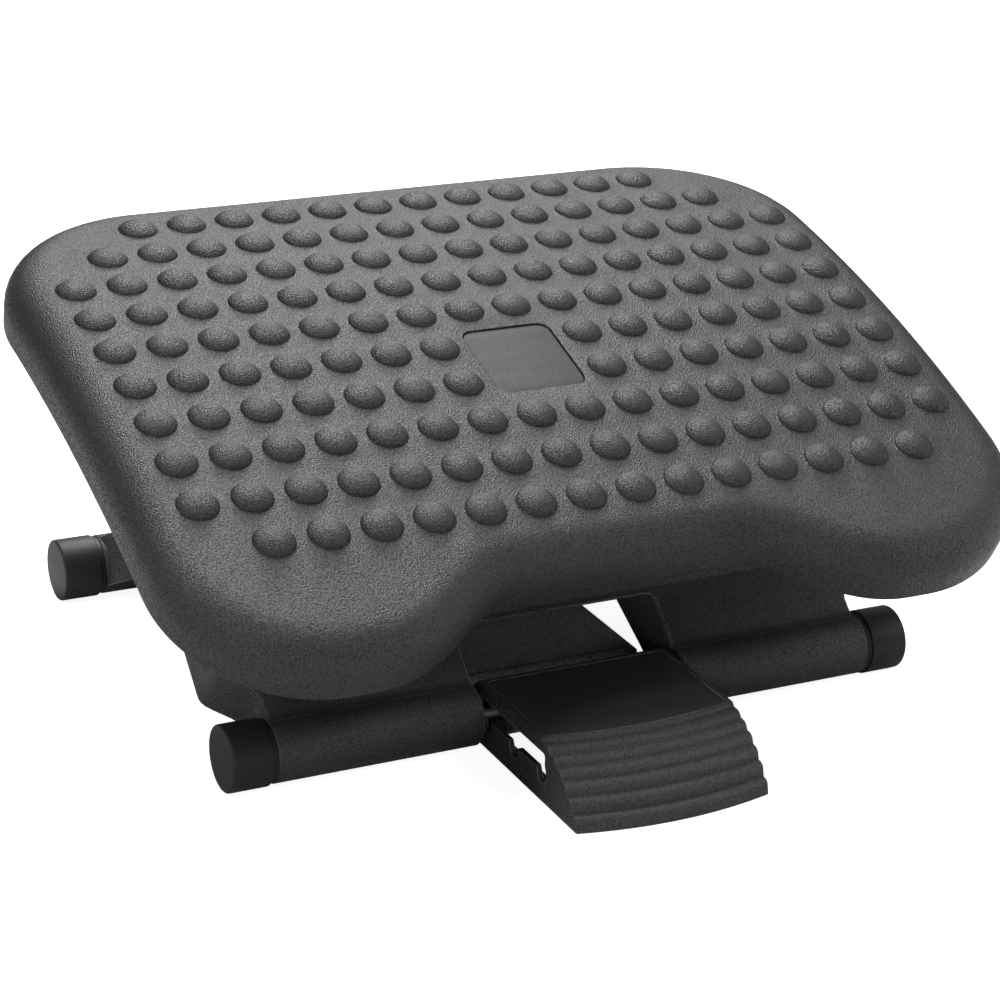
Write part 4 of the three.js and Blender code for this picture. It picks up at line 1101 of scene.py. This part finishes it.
def leg_tube(side):
    """Half of the foot's rolled tube, with eased lips, between the window and its end."""
    inner, start = TUBE_RADIUS - SHEET, CUTOUT_HALF - SHEET / 2
    corners = [
        (inner, start, 0), (TUBE_RADIUS, start, 0.3), (TUBE_RADIUS, TUBE_HALF_LENGTH, 0.6),
        (inner, TUBE_HALF_LENGTH, 0.4), (inner, start, 0),
    ]
    return turned_across(corners, side, TUBE_SIDES)


def sheet_at(side, rings, half_width, **more):
    """A sheet whose outer face lies at a half width, on the side given by its sign."""
    low = -half_width if side < 0 else half_width - SHEET
    return plate_across(rings, low, low + SHEET, **more)


def inner_flange(side, pin_place, pin_bore):
    """Side of the window: a disc that closes the tube, drawn out into a tapered web
    with a bore for the pin."""
    top = SHEET_OFFSET - SHEET / 2
    start = math.degrees(math.asin(top / DISC_RADIUS))
    web = [(0, -DISC_RADIUS, 0), *WEB_CORNERS, (WEB_REACH, top, 0.6), (WEB_RETURN, top, 0)]
    edge = in_a_row(arc((0, 0), DISC_RADIUS, start, 270, 40), eased_line(web)[1:])
    return sheet_at(side, [edge, hole(pin_place, pin_bore)], CUTOUT_HALF)


def outer_flange(side, half_width, depth, ear_radius, flare):
    """Flange down the leg's side: it starts round the tube's end, sweeps out along the
    flare, has a rounded heel and a taper, and ends in an ear round the rod."""
    lowered = FLANGE_BEND - HIDDEN
    top, low_top = PANEL_FACE - lowered, SHEET_OFFSET - lowered
    crease = sheet_line()[:CREASE_STEPS][::-1] - (0, lowered)
    crease = crease[np.hypot(*crease.T) > DISC_RADIUS]
    arc_start = math.degrees(math.atan2(crease[-1, 1], crease[-1, 0])) - 2
    before_joggle = (JOGGLE_START - JOGGLE_LEAD, low_top)
    heel = (flare[1] - HEEL_RUN, -depth + HEEL_RISE)
    joggle = [
        (TOP_START, top, 0), (JOGGLE_END + 1, top, 2), (JOGGLE_START, low_top, 2),
        (*before_joggle, 0),
    ]
    taper = [
        (*heel, 0), (flare[1], -depth, 4), (TAPER_START, -depth, 12),
        (LEG_LENGTH, -ear_radius, 0),
    ]
    shoulder = [
        (LEG_LENGTH, ear_radius, 0), (LEG_LENGTH - ear_radius, top, 6), (TOP_START, top, 0)
    ]
    edge = in_a_row(
        eased_line(joggle),
        spread_between(before_joggle, crease[0], 16)[1:],
        crease[1:],
        arc((0, 0), DISC_RADIUS, arc_start, HEEL_ANGLE, 20),
        spread_between(HEEL_FROM, heel, 9),
        eased_line(taper, 6),
        arc((LEG_LENGTH, 0), ear_radius, -90, 90, 25)[1:],
        eased_line(shoulder)[1:-1],
    )
    net = grid_of(np.linspace(flare[0] - 4, flare[1] + 2, 12), np.linspace(-depth, low_top, 9))
    net = net[inside(set_in(edge, 2), net)]
    rings = [edge, hole((LEG_LENGTH, 0), ROD_BORE)]
    points, faces = sheet_at(side, rings, half_width, inner=net)
    points[:, 0] += side * (edge_reach(points[:, 1], half_width, flare) - half_width)
    return points, faces


def end_cap(side):
    """Pushed-in cap: a flat face with an eased rim, a short barrel, and the thin sleeve
    that goes into the tube."""
    inner = TUBE_HALF_LENGTH + CAP_GROOVE
    outer = inner + CAP_LENGTH
    plug = TUBE_RADIUS - SHEET - SEAT_GAP
    seat, plug_end = TUBE_HALF_LENGTH + SEAT_GAP, TUBE_HALF_LENGTH - CAP_PLUG
    corners = [
        (0, outer, 0), (CAP_RADIUS, outer, 1.3), (CAP_RADIUS, inner, 0.5),
        (CAP_COLLAR, inner, 0.1), (CAP_COLLAR, seat, 0.2), (plug, seat, 0.1),
        (plug, plug_end, 0.6), (plug - CAP_WALL, plug_end, 0.3),
        (plug - CAP_WALL, outer - CAP_WALL, 0.8), (0, outer - CAP_WALL, 0),
    ]
    return turned_across(corners, side, TUBE_SIDES, 6)


LEGS = (
    (
        "front", FRONT, FRONT_FLARE, (LOCK_PLACE, LOCK_BORE),
        (FRONT_LEG_HALF, FRONT_FLANGE_DEPTH, FRONT_EAR),
    ),
    (
        "rear", REAR, REAR_FLARE, ((0, 0), PIVOT_BORE),
        (REAR_LEG_HALF, REAR_FLANGE_DEPTH, REAR_EAR),
    ),
)
for leg, stand, flare, pin, reaches in LEGS:
    node = f"{leg}_leg"
    shape = leg_panel(reaches[0], flare)
    panel = add_piece(f"{leg}_leg_panel", node, shape, stand, PAINTED_STEEL, direction=(0, 0, 1))
    thicken(panel, SHEET)
    soften_edges(panel, 0.35, 50)
    shape = joined(leg_tube(-1), leg_tube(1))
    add_piece(f"{leg}_leg_tube", node, shape, stand, PAINTED_STEEL)
    shape = joined(
        *[inner_flange(side, *pin) for side in (-1, 1)],
        *[outer_flange(side, *reaches, flare) for side in (-1, 1)],
    )
    add_piece(f"{leg}_leg_flanges", node, shape, stand, PAINTED_STEEL)
    for side, label in SIDES:
        name, node = f"{leg}_end_cap_{label}", f"{leg}_cap_{label}"
        add_piece(name, node, end_cap(side), stand, CAP_PLASTIC)

# ---------------------------------------------------------------- rod, pins and washers

ROD_RADIUS = 5
ROD_OVERHANG = 5
ROD_END = FRONT_LEG_HALF + ROD_OVERHANG
RETAINER_LENGTH = 3.4
PIN_RETAINER_LENGTH = 2.4
ROD_DOME, PIN_DOME = 1.2, 0.9
PIN_END = CUTOUT_HALF + RUNNING_GAP + PIN_RETAINER_LENGTH - PIN_DOME
TIE_HALF = 50.5


def bar(radius, end):
    """Round bar across the middle, with eased ends."""
    return turned_across([(0, -end, 0), (radius, -end, 0.6), (radius, end, 0.6), (0, end, 0)])


def sleeve(side, radius, bore, start, end):
    """Bored ring between two places on X."""
    corners = [
        (bore, start, 0), (radius, start, 0.35), (radius, end, 0.35), (bore, end, 0.2),
        (bore, start, 0),
    ]
    return turned_across(corners, side)


def push_cap(side, radius, bore, start, length, dome):
    """Push-on retainer: a flange with a shallow domed face."""
    end = start + length
    corners = [
        (0, end - dome, 0), (bore, end - dome, 0), (bore, start, 0.2), (radius, start, 0.3),
        (radius, start + 0.9, 0.5), (bore + 1.4, start + 1.3, 0.5), (bore + 0.9, end, 0.8),
        (0, end, 0),
    ]
    return turned_across(corners, side)


LOCK = (FRONT[0], FRONT[1], FRONT[2] + FRONT[1] @ np.array([0, *LOCK_PLACE]))
OUTSIDE_BRACKET = BRACKET_CENTRE + BRACKET_HALF_WIDTH + RUNNING_GAP
INSIDE_REAR = REAR_LEG_HALF - SHEET - RUNNING_GAP
OUTSIDE_REAR = REAR_LEG_HALF + RUNNING_GAP
INSIDE_FRONT = FRONT_LEG_HALF - SHEET - RUNNING_GAP
OUTSIDE_FRONT = FRONT_LEG_HALF + RUNNING_GAP
OUTSIDE_TIE = TIE_HALF + RUNNING_GAP
INSIDE_CUTOUT = CUTOUT_HALF - SHEET - RUNNING_GAP
OUTSIDE_CUTOUT = CUTOUT_HALF + RUNNING_GAP
ROD_CAP_LENGTH = ROD_OVERHANG + RETAINER_LENGTH - RUNNING_GAP

# Radius, bore, start and end of a sleeve; radius, bore, start, length and dome of a cap
RINGS = (
    ("friction_ring", "friction_washer", ROD, NYLON, sleeve,
     (9.5, ROD_BORE, OUTSIDE_BRACKET, INSIDE_REAR)),
    ("rod_sleeve", "rod_spacer", ROD, NYLON, sleeve, (8, ROD_BORE, OUTSIDE_REAR, INSIDE_FRONT)),
    ("rod_push_cap", "rod_retainer", ROD, PLAIN_STEEL, push_cap,
     (8.5, ROD_BORE, OUTSIDE_FRONT, ROD_CAP_LENGTH, ROD_DOME)),
    ("pivot_sleeve", "pivot_spacer", PIVOT, NYLON, sleeve,
     (7.5, PIVOT_BORE, OUTSIDE_TIE, INSIDE_CUTOUT)),
    ("pivot_push_cap", "pivot_retainer", PIVOT, PLAIN_STEEL, push_cap,
     (8, PIVOT_BORE, OUTSIDE_CUTOUT, PIN_RETAINER_LENGTH, PIN_DOME)),
    ("lock_push_cap", "lock_retainer", LOCK, PLAIN_STEEL, push_cap,
     (4.8, LOCK_BORE, OUTSIDE_CUTOUT, PIN_RETAINER_LENGTH, PIN_DOME)),
)
add_piece("rod", "hinge_rod", bar(ROD_RADIUS, ROD_END), ROD, PLAIN_STEEL)
add_piece("pivot_shaft", "pivot_pin", bar(PIVOT_RADIUS, PIN_END), PIVOT, PLAIN_STEEL)
add_piece("lock_shaft", "lock_pin", bar(LOCK_RADIUS, PIN_END), LOCK, PLAIN_STEEL)
for side, label in SIDES:
    for name, node, stand, look, draw, sizes in RINGS:
        add_piece(f"{name}_{label}", f"{node}_{label}", draw(side, *sizes), stand, look)

# ---------------------------------------------------------------- pedal

PEDAL_HALF_WIDTH = 51.3
PEDAL_WALL = 2.6
PEDAL_HEIGHT = 32
PEDAL_ROOF = 4.6
PEDAL_REAR = 16
PEDAL_REAR_STEP = 20
PEDAL_TOP_REAR = 2
PEDAL_TOP_FRONT = 64
PEDAL_BEND = (-88, 27)
PEDAL_TOE = 104
PEDAL_TOE_WALL = 12
PEDAL_TOE_LEAN = 4
PEDAL_BULGE = 6.5
BULGE_START = 20
PEDAL_EASE = 0.9
RIB_COUNT = 7
RIB_LEAN = 1.6
COVER_BORDER = 3.4
COVER_TO_RIB = 1.6
COVER_THICKNESS = 1.8
COVER_CORNER = 2
COVER_HALF_WIDTH = PEDAL_HALF_WIDTH - COVER_BORDER
COVER_REAR = PEDAL_TOP_REAR - COVER_BORDER
COVER_FRONT = -PEDAL_TOP_FRONT + COVER_TO_RIB
POCKET_PITCH = 28.5
POCKET_FIRST = -9
POCKET_HEIGHT = 14
POCKET_HALF_WIDTH = 4.4
POCKET_LEAN = 25
POCKET_PLACES = POCKET_FIRST - POCKET_PITCH * np.arange(3)
TRACK_LOW, TRACK_HIGH, TRACK_REAR, TRACK_ROUND = 15.9, 25.1, 1.5, 2
TRACK_FRONT = POCKET_PLACES[-1] - POCKET_HALF_WIDTH / 2
TIE_FLOOR = 2.2
TIE_FLOOR_HALF = 45
TIE_LOW_TOP = TIE_FLOOR + SHEET
RACK_BOSS_RADIUS = 4.4
END_BOSS_DROP = 8
RACK_SCREWS = [(x, y) for x in (-30, 30) for y in (-84, 9.6)]
# How far a cutter runs past the faces that it opens
BEYOND = 2


def ribbed_front():
    """Stair of ribs down the front, on a curve from the top to the toe, as (y, z)."""
    controls = np.array([[-PEDAL_TOP_FRONT, PEDAL_HEIGHT], PEDAL_BEND, [-PEDAL_TOE, 0]])
    curve = bezier(controls, np.arange(RIB_COUNT + 1) / RIB_COUNT)
    risers = np.column_stack([curve[:-1, 0] - RIB_LEAN, curve[1:, 1]])
    return np.stack([curve[:-1], risers], 1).reshape(-1, 2)


def bulge(x):
    """How far the pedal's front is drawn forward at a place across it."""
    return PEDAL_BULGE * (1 - (x / PEDAL_HALF_WIDTH) ** 2)


def pedal_block():
    """The pedal's outside: one outline carried across, its front drawn forward in the
    middle by bulge (1 - (x / half)^2), and its sides eased by a quarter circle."""
    back = [[PEDAL_REAR, 0], [PEDAL_REAR, PEDAL_REAR_STEP], [PEDAL_TOP_REAR, PEDAL_HEIGHT]]
    cuts = np.concatenate([[0.8, 2.5, 1.2], np.tile([3.4, 0.25], RIB_COUNT)])
    cuts[3], cuts[-1] = 1.1, 0.5
    loop = eased(with_cuts(np.vstack([back, ribbed_front()]), cuts), 7)
    end = arc((PEDAL_HALF_WIDTH - PEDAL_EASE, PEDAL_EASE), PEDAL_EASE, -90, 0, 4)
    stations = in_a_row(end[::-1] * (-1, 1), at_height(np.linspace(-50, 50, 21), 0), end)
    points = np.stack([np.insert(set_in(loop, inset), 0, x, 1) for x, inset in stations])
    ahead = (-loop[:, 0] - BULGE_START) / (PEDAL_TOP_FRONT - BULGE_START)
    points[:, :, 1] -= bulge(stations[:, :1]) * np.clip(ahead, 0, 1)
    return banded(points, shut=True)


def pocket_outline(y):
    """Slanted pocket with a round foot, whose mouth leans back under the track."""
    mouth_z = TRACK_HIGH - POCKET_HALF_WIDTH - TRACK_ROUND
    mouth_y = y + (mouth_z - POCKET_HEIGHT) * math.tan(math.radians(POCKET_LEAN))
    radius, turn_at = POCKET_HALF_WIDTH, 180 - POCKET_LEAN
    mouth = arc((mouth_y, mouth_z), radius, -POCKET_LEAN, turn_at, 14)
    return in_a_row(mouth, arc((y, POCKET_HEIGHT), radius, turn_at, turn_at + 180, 18))


def cutter(outline, low, high, matrix=np.eye(3)):
    """An outline carried from low to high, with crisp rims."""
    block = banded(np.stack([at_height(outline, low), at_height(outline, high)]), shut=True)
    return moved(block, matrix)


def cutter_across(outline, half_width):
    """An outline in (Y, Z) carried across the middle."""
    return cutter(outline, -half_width, half_width, ALONG_X)


def cover_outline(grow=0):
    """Cover's edge: rounded behind, and bowed in front along the first rib."""
    half, corner = COVER_HALF_WIDTH + grow, COVER_CORNER + grow
    x = np.linspace(-half, half, 25)
    behind = COVER_REAR + grow - corner
    return in_a_row(
        np.column_stack([x, COVER_FRONT - grow - bulge(x)]),
        arc((half - corner, behind), corner, 0, 90, 6),
        arc((corner - half, behind), corner, 90, 180, 6),
    )


def pedal_body():
    """The outside less its hollow, the cover's seat, the gate for the tie, the track
    and its pockets."""
    ceiling = PEDAL_HEIGHT - PEDAL_ROOF
    hollow_rear = PEDAL_REAR - PEDAL_WALL
    hollow_toe = -PEDAL_TOE + PEDAL_TOE_WALL
    hollow = [
        (hollow_rear, -BEYOND, 0), (hollow_rear, PEDAL_REAR_STEP - PEDAL_WALL, 2),
        (PEDAL_TOP_REAR, ceiling, 2), (-PEDAL_TOP_FRONT, ceiling, 2),
        (hollow_toe + PEDAL_TOE_LEAN, PEDAL_HEIGHT / 2, 2), (hollow_toe, -BEYOND, 0),
    ]
    top, rear = TIE_LOW_TOP + SEAT_GAP, PEDAL_REAR + BEYOND
    gate = np.array([[0, -BEYOND], [rear, -BEYOND], [rear, top], [0, top]])
    track = box_between((TRACK_FRONT, TRACK_LOW), (TRACK_REAR, TRACK_HIGH), TRACK_ROUND)
    seat_low = PEDAL_HEIGHT - COVER_THICKNESS - SEAT_GAP
    reach = PEDAL_HALF_WIDTH + BEYOND
    cutters = [
        cutter_across(eased(hollow), PEDAL_HALF_WIDTH - PEDAL_WALL),
        cutter(cover_outline(SEAT_GAP), seat_low, PEDAL_HEIGHT + BEYOND),
        cutter_across(gate, TIE_FLOOR_HALF + SEAT_GAP),
        cutter_across(track, reach),
        *[cutter_across(pocket_outline(y), reach) for y in POCKET_PLACES],
    ]
    return carved(pedal_block(), cutters)


def pedal_bosses():
    """Four screw bosses down to the tie."""
    foot = TIE_LOW_TOP + SEAT_GAP
    roof = PEDAL_HEIGHT - PEDAL_ROOF + LAP
    cuts = [0, 0.2, 0.5, 0.3, 0, 0]
    shapes = []
    for x, y in RACK_SCREWS:
        top = roof if -PEDAL_TOP_FRONT < y < 0 else roof - END_BOSS_DROP
        boss = screw_boss(RACK_BOSS_RADIUS, top, foot, foot + SCREW_LENGTH, cuts)
        shapes.append(moved(boss, offset=(x, y, 0)))
    return joined(*shapes)


pedal = add_piece("pedal_shell", "pedal_body", pedal_body(), RACK, PEDAL_PLASTIC, crease=40)
soften_edges(pedal, 0.25, 55)
add_piece("pedal_bosses", "pedal_body", pedal_bosses(), RACK, PEDAL_PLASTIC)
cover = plate([cover_outline()], PEDAL_HEIGHT - COVER_THICKNESS, PEDAL_HEIGHT, steps=4)
add_piece("pedal_top_cover", "pedal_cover", cover, RACK, COVER_PLASTIC)

# ---------------------------------------------------------------- tie

TIE_TOP = 21
TIE_FRONT = -90
STEP_START = 18
STEP_END = 27
TIE_LAP = 3.6
TIE_LIP = 13
WEB_REAR = LEG_SPREAD - 20
TIE_EAR = 9
TIE_BEND = 2.2
WINDOW_FRONT, WINDOW_REAR, WINDOW_HALF = -66, -2, 40


def tie():
    """Low plate with a window inside the pedal, a step up, a web with round shoulders,
    and a lip down each side that ends in an ear round the pivot."""
    high_low = TIE_TOP - SHEET
    low_section = eased(
        [
            (TIE_FRONT, TIE_FLOOR, 0.3), (STEP_START + SHEET, TIE_FLOOR, 2.5),
            (STEP_END + SHEET, high_low, 1.2), (STEP_END + TIE_LAP, high_low, 0.1),
            (STEP_END + TIE_LAP, TIE_TOP, 0.1), (STEP_END, TIE_TOP, 2.4),
            (STEP_START, TIE_LOW_TOP, 1.4), (TIE_FRONT, TIE_LOW_TOP, 0.3),
        ]
    )
    half_strip = (TIE_FLOOR_HALF - WINDOW_HALF) / 2
    strip = plate_across([low_section], -half_strip, half_strip)
    strips = [moved(strip, offset=(side * (WINDOW_HALF + half_strip), 0, 0)) for side in (-1, 1)]
    # Bridges in front of the window and behind it, lapped into the strips
    half_bridge = WINDOW_HALF + LAP
    front_edge = box_between((-half_bridge, TIE_FRONT), (half_bridge, WINDOW_FRONT), 0.4)
    front_bridge = plate([front_edge], TIE_FLOOR, TIE_LOW_TOP)
    rear_section = in_a_row(
        [[WINDOW_REAR, TIE_LOW_TOP], [WINDOW_REAR, TIE_FLOOR]],
        low_section[low_section[:, 0] > WINDOW_REAR],
    )
    rear_bridge = plate_across([rear_section], -half_bridge, half_bridge)
    below_bend = TIE_TOP - TIE_BEND - 0.4
    shoulder = eased(
        [
            (-TIE_HALF, below_bend, 0), (-TIE_HALF, TIE_TOP, TIE_BEND),
            (TIE_HALF, TIE_TOP, TIE_BEND), (TIE_HALF, below_bend, 0),
            (TIE_HALF - SHEET, high_low, 0), (-TIE_HALF + SHEET, high_low, 0),
        ],
        6,
    )
    # Drawn (x, z, y) from the shoulder's outline
    swap = np.array([[1, 0, 0], [0, 0, 1], [0, 1, 0]], float)
    web = moved(plate([shoulder[::-1]], STEP_END, WEB_REAR), swap)
    pivot = (LEG_SPREAD, TUBE_AXIS_HEIGHT)
    lip_top, lip_low, lip_start = TIE_TOP - TIE_BEND, TIE_TOP - TIE_LIP, STEP_END + 0.3
    lip_line = [
        (lip_start, lip_top, 0), (lip_start, TIE_TOP - SHEET - TIE_LIP / 2, 2),
        (STEP_END + TIE_LIP, lip_low, 4), (WEB_REAR, lip_low, 1),
        (LEG_SPREAD, TUBE_AXIS_HEIGHT - TIE_EAR, 0),
    ]
    lip = in_a_row(
        [[WEB_REAR, lip_top], [lip_start, lip_top]],
        eased_line(lip_line)[1:],
        arc(pivot, TIE_EAR, -90, 90, 21)[1:],
    )
    lips = [sheet_at(side, [lip, hole(pivot, PIVOT_BORE)], TIE_HALF) for side in (-1, 1)]
    return joined(*strips, front_bridge, rear_bridge, web, *lips)


add_piece("tie_channel", "tie_plate", tie(), RACK, LIGHTENED_TIE_STEEL)
add_screws("rack_screw_head", "rack_screw", RACK_SCREWS, TIE_FLOOR, RACK)

# ---------------------------------------------------------------- studio

WORLD_FILL = 0.07
WORLD_GLOSS = 0.10
FLOOR_HALF = 12.0
FLOOR_DROP = 0.0002
FLOOR_COLOUR = (0.65, 0.65, 0.65)
FLOOR_LIFT = 0.9

# Name, place, point looked at, size and power
SOFTBOXES = (
    ("rear key", (0.24, 0.64, 1.28), (-0.05, 0, 0.15), (0.6, 1.4), 38),
    ("left rim softbox", (-0.9, -0.28, 1.0), (0, -0.05, 0.1), (0.16, 0.8), 7),
    ("front right softbox", (1.0, -1.5, 1.7), (0, 0, 0.08), (0.8, 0.8), 10),
    ("right side strip", (1.3, -0.3, 0.4), (0.1, 0, 0.08), (0.4, 1.0), 5),
    ("front left fill", (-1.5, -1.5, 0.4), (0, 0, 0.04), (1.2, 0.5), 3.5),
    ("low front softbox", (-0.6, -1.5, 0.42), (0.01, -0.03, 0.02), (0.35, 0.25), 3.5),
)

# Azimuth, elevation and roll in degrees, place in metres and lens in millimetres
CAMERA_ANGLES = (-27.4111, 21.8054, 2.319)
CAMERA_PLACE = (-0.62492, -1.19372, 0.62912)
CAMERA_LENS = 104.6
SENSOR_WIDTH = 36


def add_floor():
    """Pale floor that keeps the shadow, and looks whiter to the camera than it lights
    the object."""
    data = bpy.data.meshes.new("floor")
    corners = [(x * FLOOR_HALF, y * FLOOR_HALF, 0) for x, y in ((-1, -1), (1, -1), (1, 1), (-1, 1))]
    data.from_pydata(corners, [], [(0, 1, 2, 3)])
    floor = bpy.data.objects.new("floor", data)
    floor.location.z = -FLOOR_DROP
    bpy.context.scene.collection.objects.link(floor)
    material = bpy.data.materials.new("pale floor")
    material.use_nodes = True
    tree = material.node_tree
    shader = tree.nodes["Principled BSDF"]
    shader.inputs["Roughness"].default_value = 0.9
    shader.inputs["Specular IOR Level"].default_value = 0.1
    shader.inputs["Base Color"].default_value = (*FLOOR_COLOUR, 1)
    path = tree.nodes.new("ShaderNodeLightPath").outputs
    lift = math_node(tree, "MULTIPLY", path["Is Camera Ray"], FLOOR_LIFT)
    glow = add_node(tree, "ShaderNodeEmission", {"Strength": lift})
    both = add_node(tree, "ShaderNodeAddShader", {0: shader.outputs[0], 1: glow.outputs[0]})
    tree.links.new(both.outputs[0], tree.nodes["Material Output"].inputs["Surface"])
    data.materials.append(material)


def add_world():
    """White to the camera, and a low even light on the object."""
    world = bpy.data.worlds.new("studio")
    bpy.context.scene.world = world
    world.use_nodes = True
    tree = world.node_tree
    tree.nodes.clear()
    path = tree.nodes.new("ShaderNodeLightPath").outputs
    seen = math_node(tree, "MAXIMUM", path["Is Camera Ray"], path["Is Transmission Ray"])
    glossy = math_node(tree, "MULTIPLY", path["Is Glossy Ray"], WORLD_GLOSS)
    strength = math_node(tree, "MAXIMUM", math_node(tree, "MAXIMUM", seen, glossy), WORLD_FILL)
    back = add_node(tree, "ShaderNodeBackground", {"Color": (1, 1, 1, 1), "Strength": strength})
    leave = tree.nodes.new("ShaderNodeOutputWorld")
    tree.links.new(back.outputs[0], leave.inputs["Surface"])


def add_softbox(name, place, aim, size, power):
    """Large soft lamp that looks at a point."""
    lamp = bpy.data.lights.new(name, "AREA")
    lamp.shape = "RECTANGLE"
    lamp.size, lamp.size_y = size
    lamp.energy = power
    holder = bpy.data.objects.new(name, lamp)
    holder.location = place
    holder.rotation_mode = "QUATERNION"
    holder.rotation_quaternion = (Vector(aim) - Vector(place)).to_track_quat("-Z", "Y")
    bpy.context.scene.collection.objects.link(holder)


def add_camera():
    """The photograph's view: place, direction, small roll and lens."""
    azimuth, elevation, roll = map(math.radians, CAMERA_ANGLES)
    level = math.cos(elevation)
    back = Vector((math.sin(azimuth) * level, -math.cos(azimuth) * level, math.sin(elevation)))
    right = Vector((math.cos(azimuth), math.sin(azimuth), 0))
    up = back.cross(right)
    across = math.cos(roll) * right + math.sin(roll) * up
    upward = -math.sin(roll) * right + math.cos(roll) * up
    lens = bpy.data.cameras.new("camera")
    lens.lens, lens.sensor_width = CAMERA_LENS, SENSOR_WIDTH
    lens.clip_start, lens.clip_end = 0.05, 50
    camera = bpy.data.objects.new("camera", lens)
    matrix = Matrix((across, upward, back)).transposed().to_4x4()
    matrix.translation = Vector(CAMERA_PLACE)
    camera.matrix_world = matrix
    bpy.context.scene.collection.objects.link(camera)
    bpy.context.scene.camera = camera


add_floor()
add_world()
for softbox in SOFTBOXES:
    add_softbox(*softbox)
add_camera()
bpy.context.scene.view_settings.view_transform = "Standard"
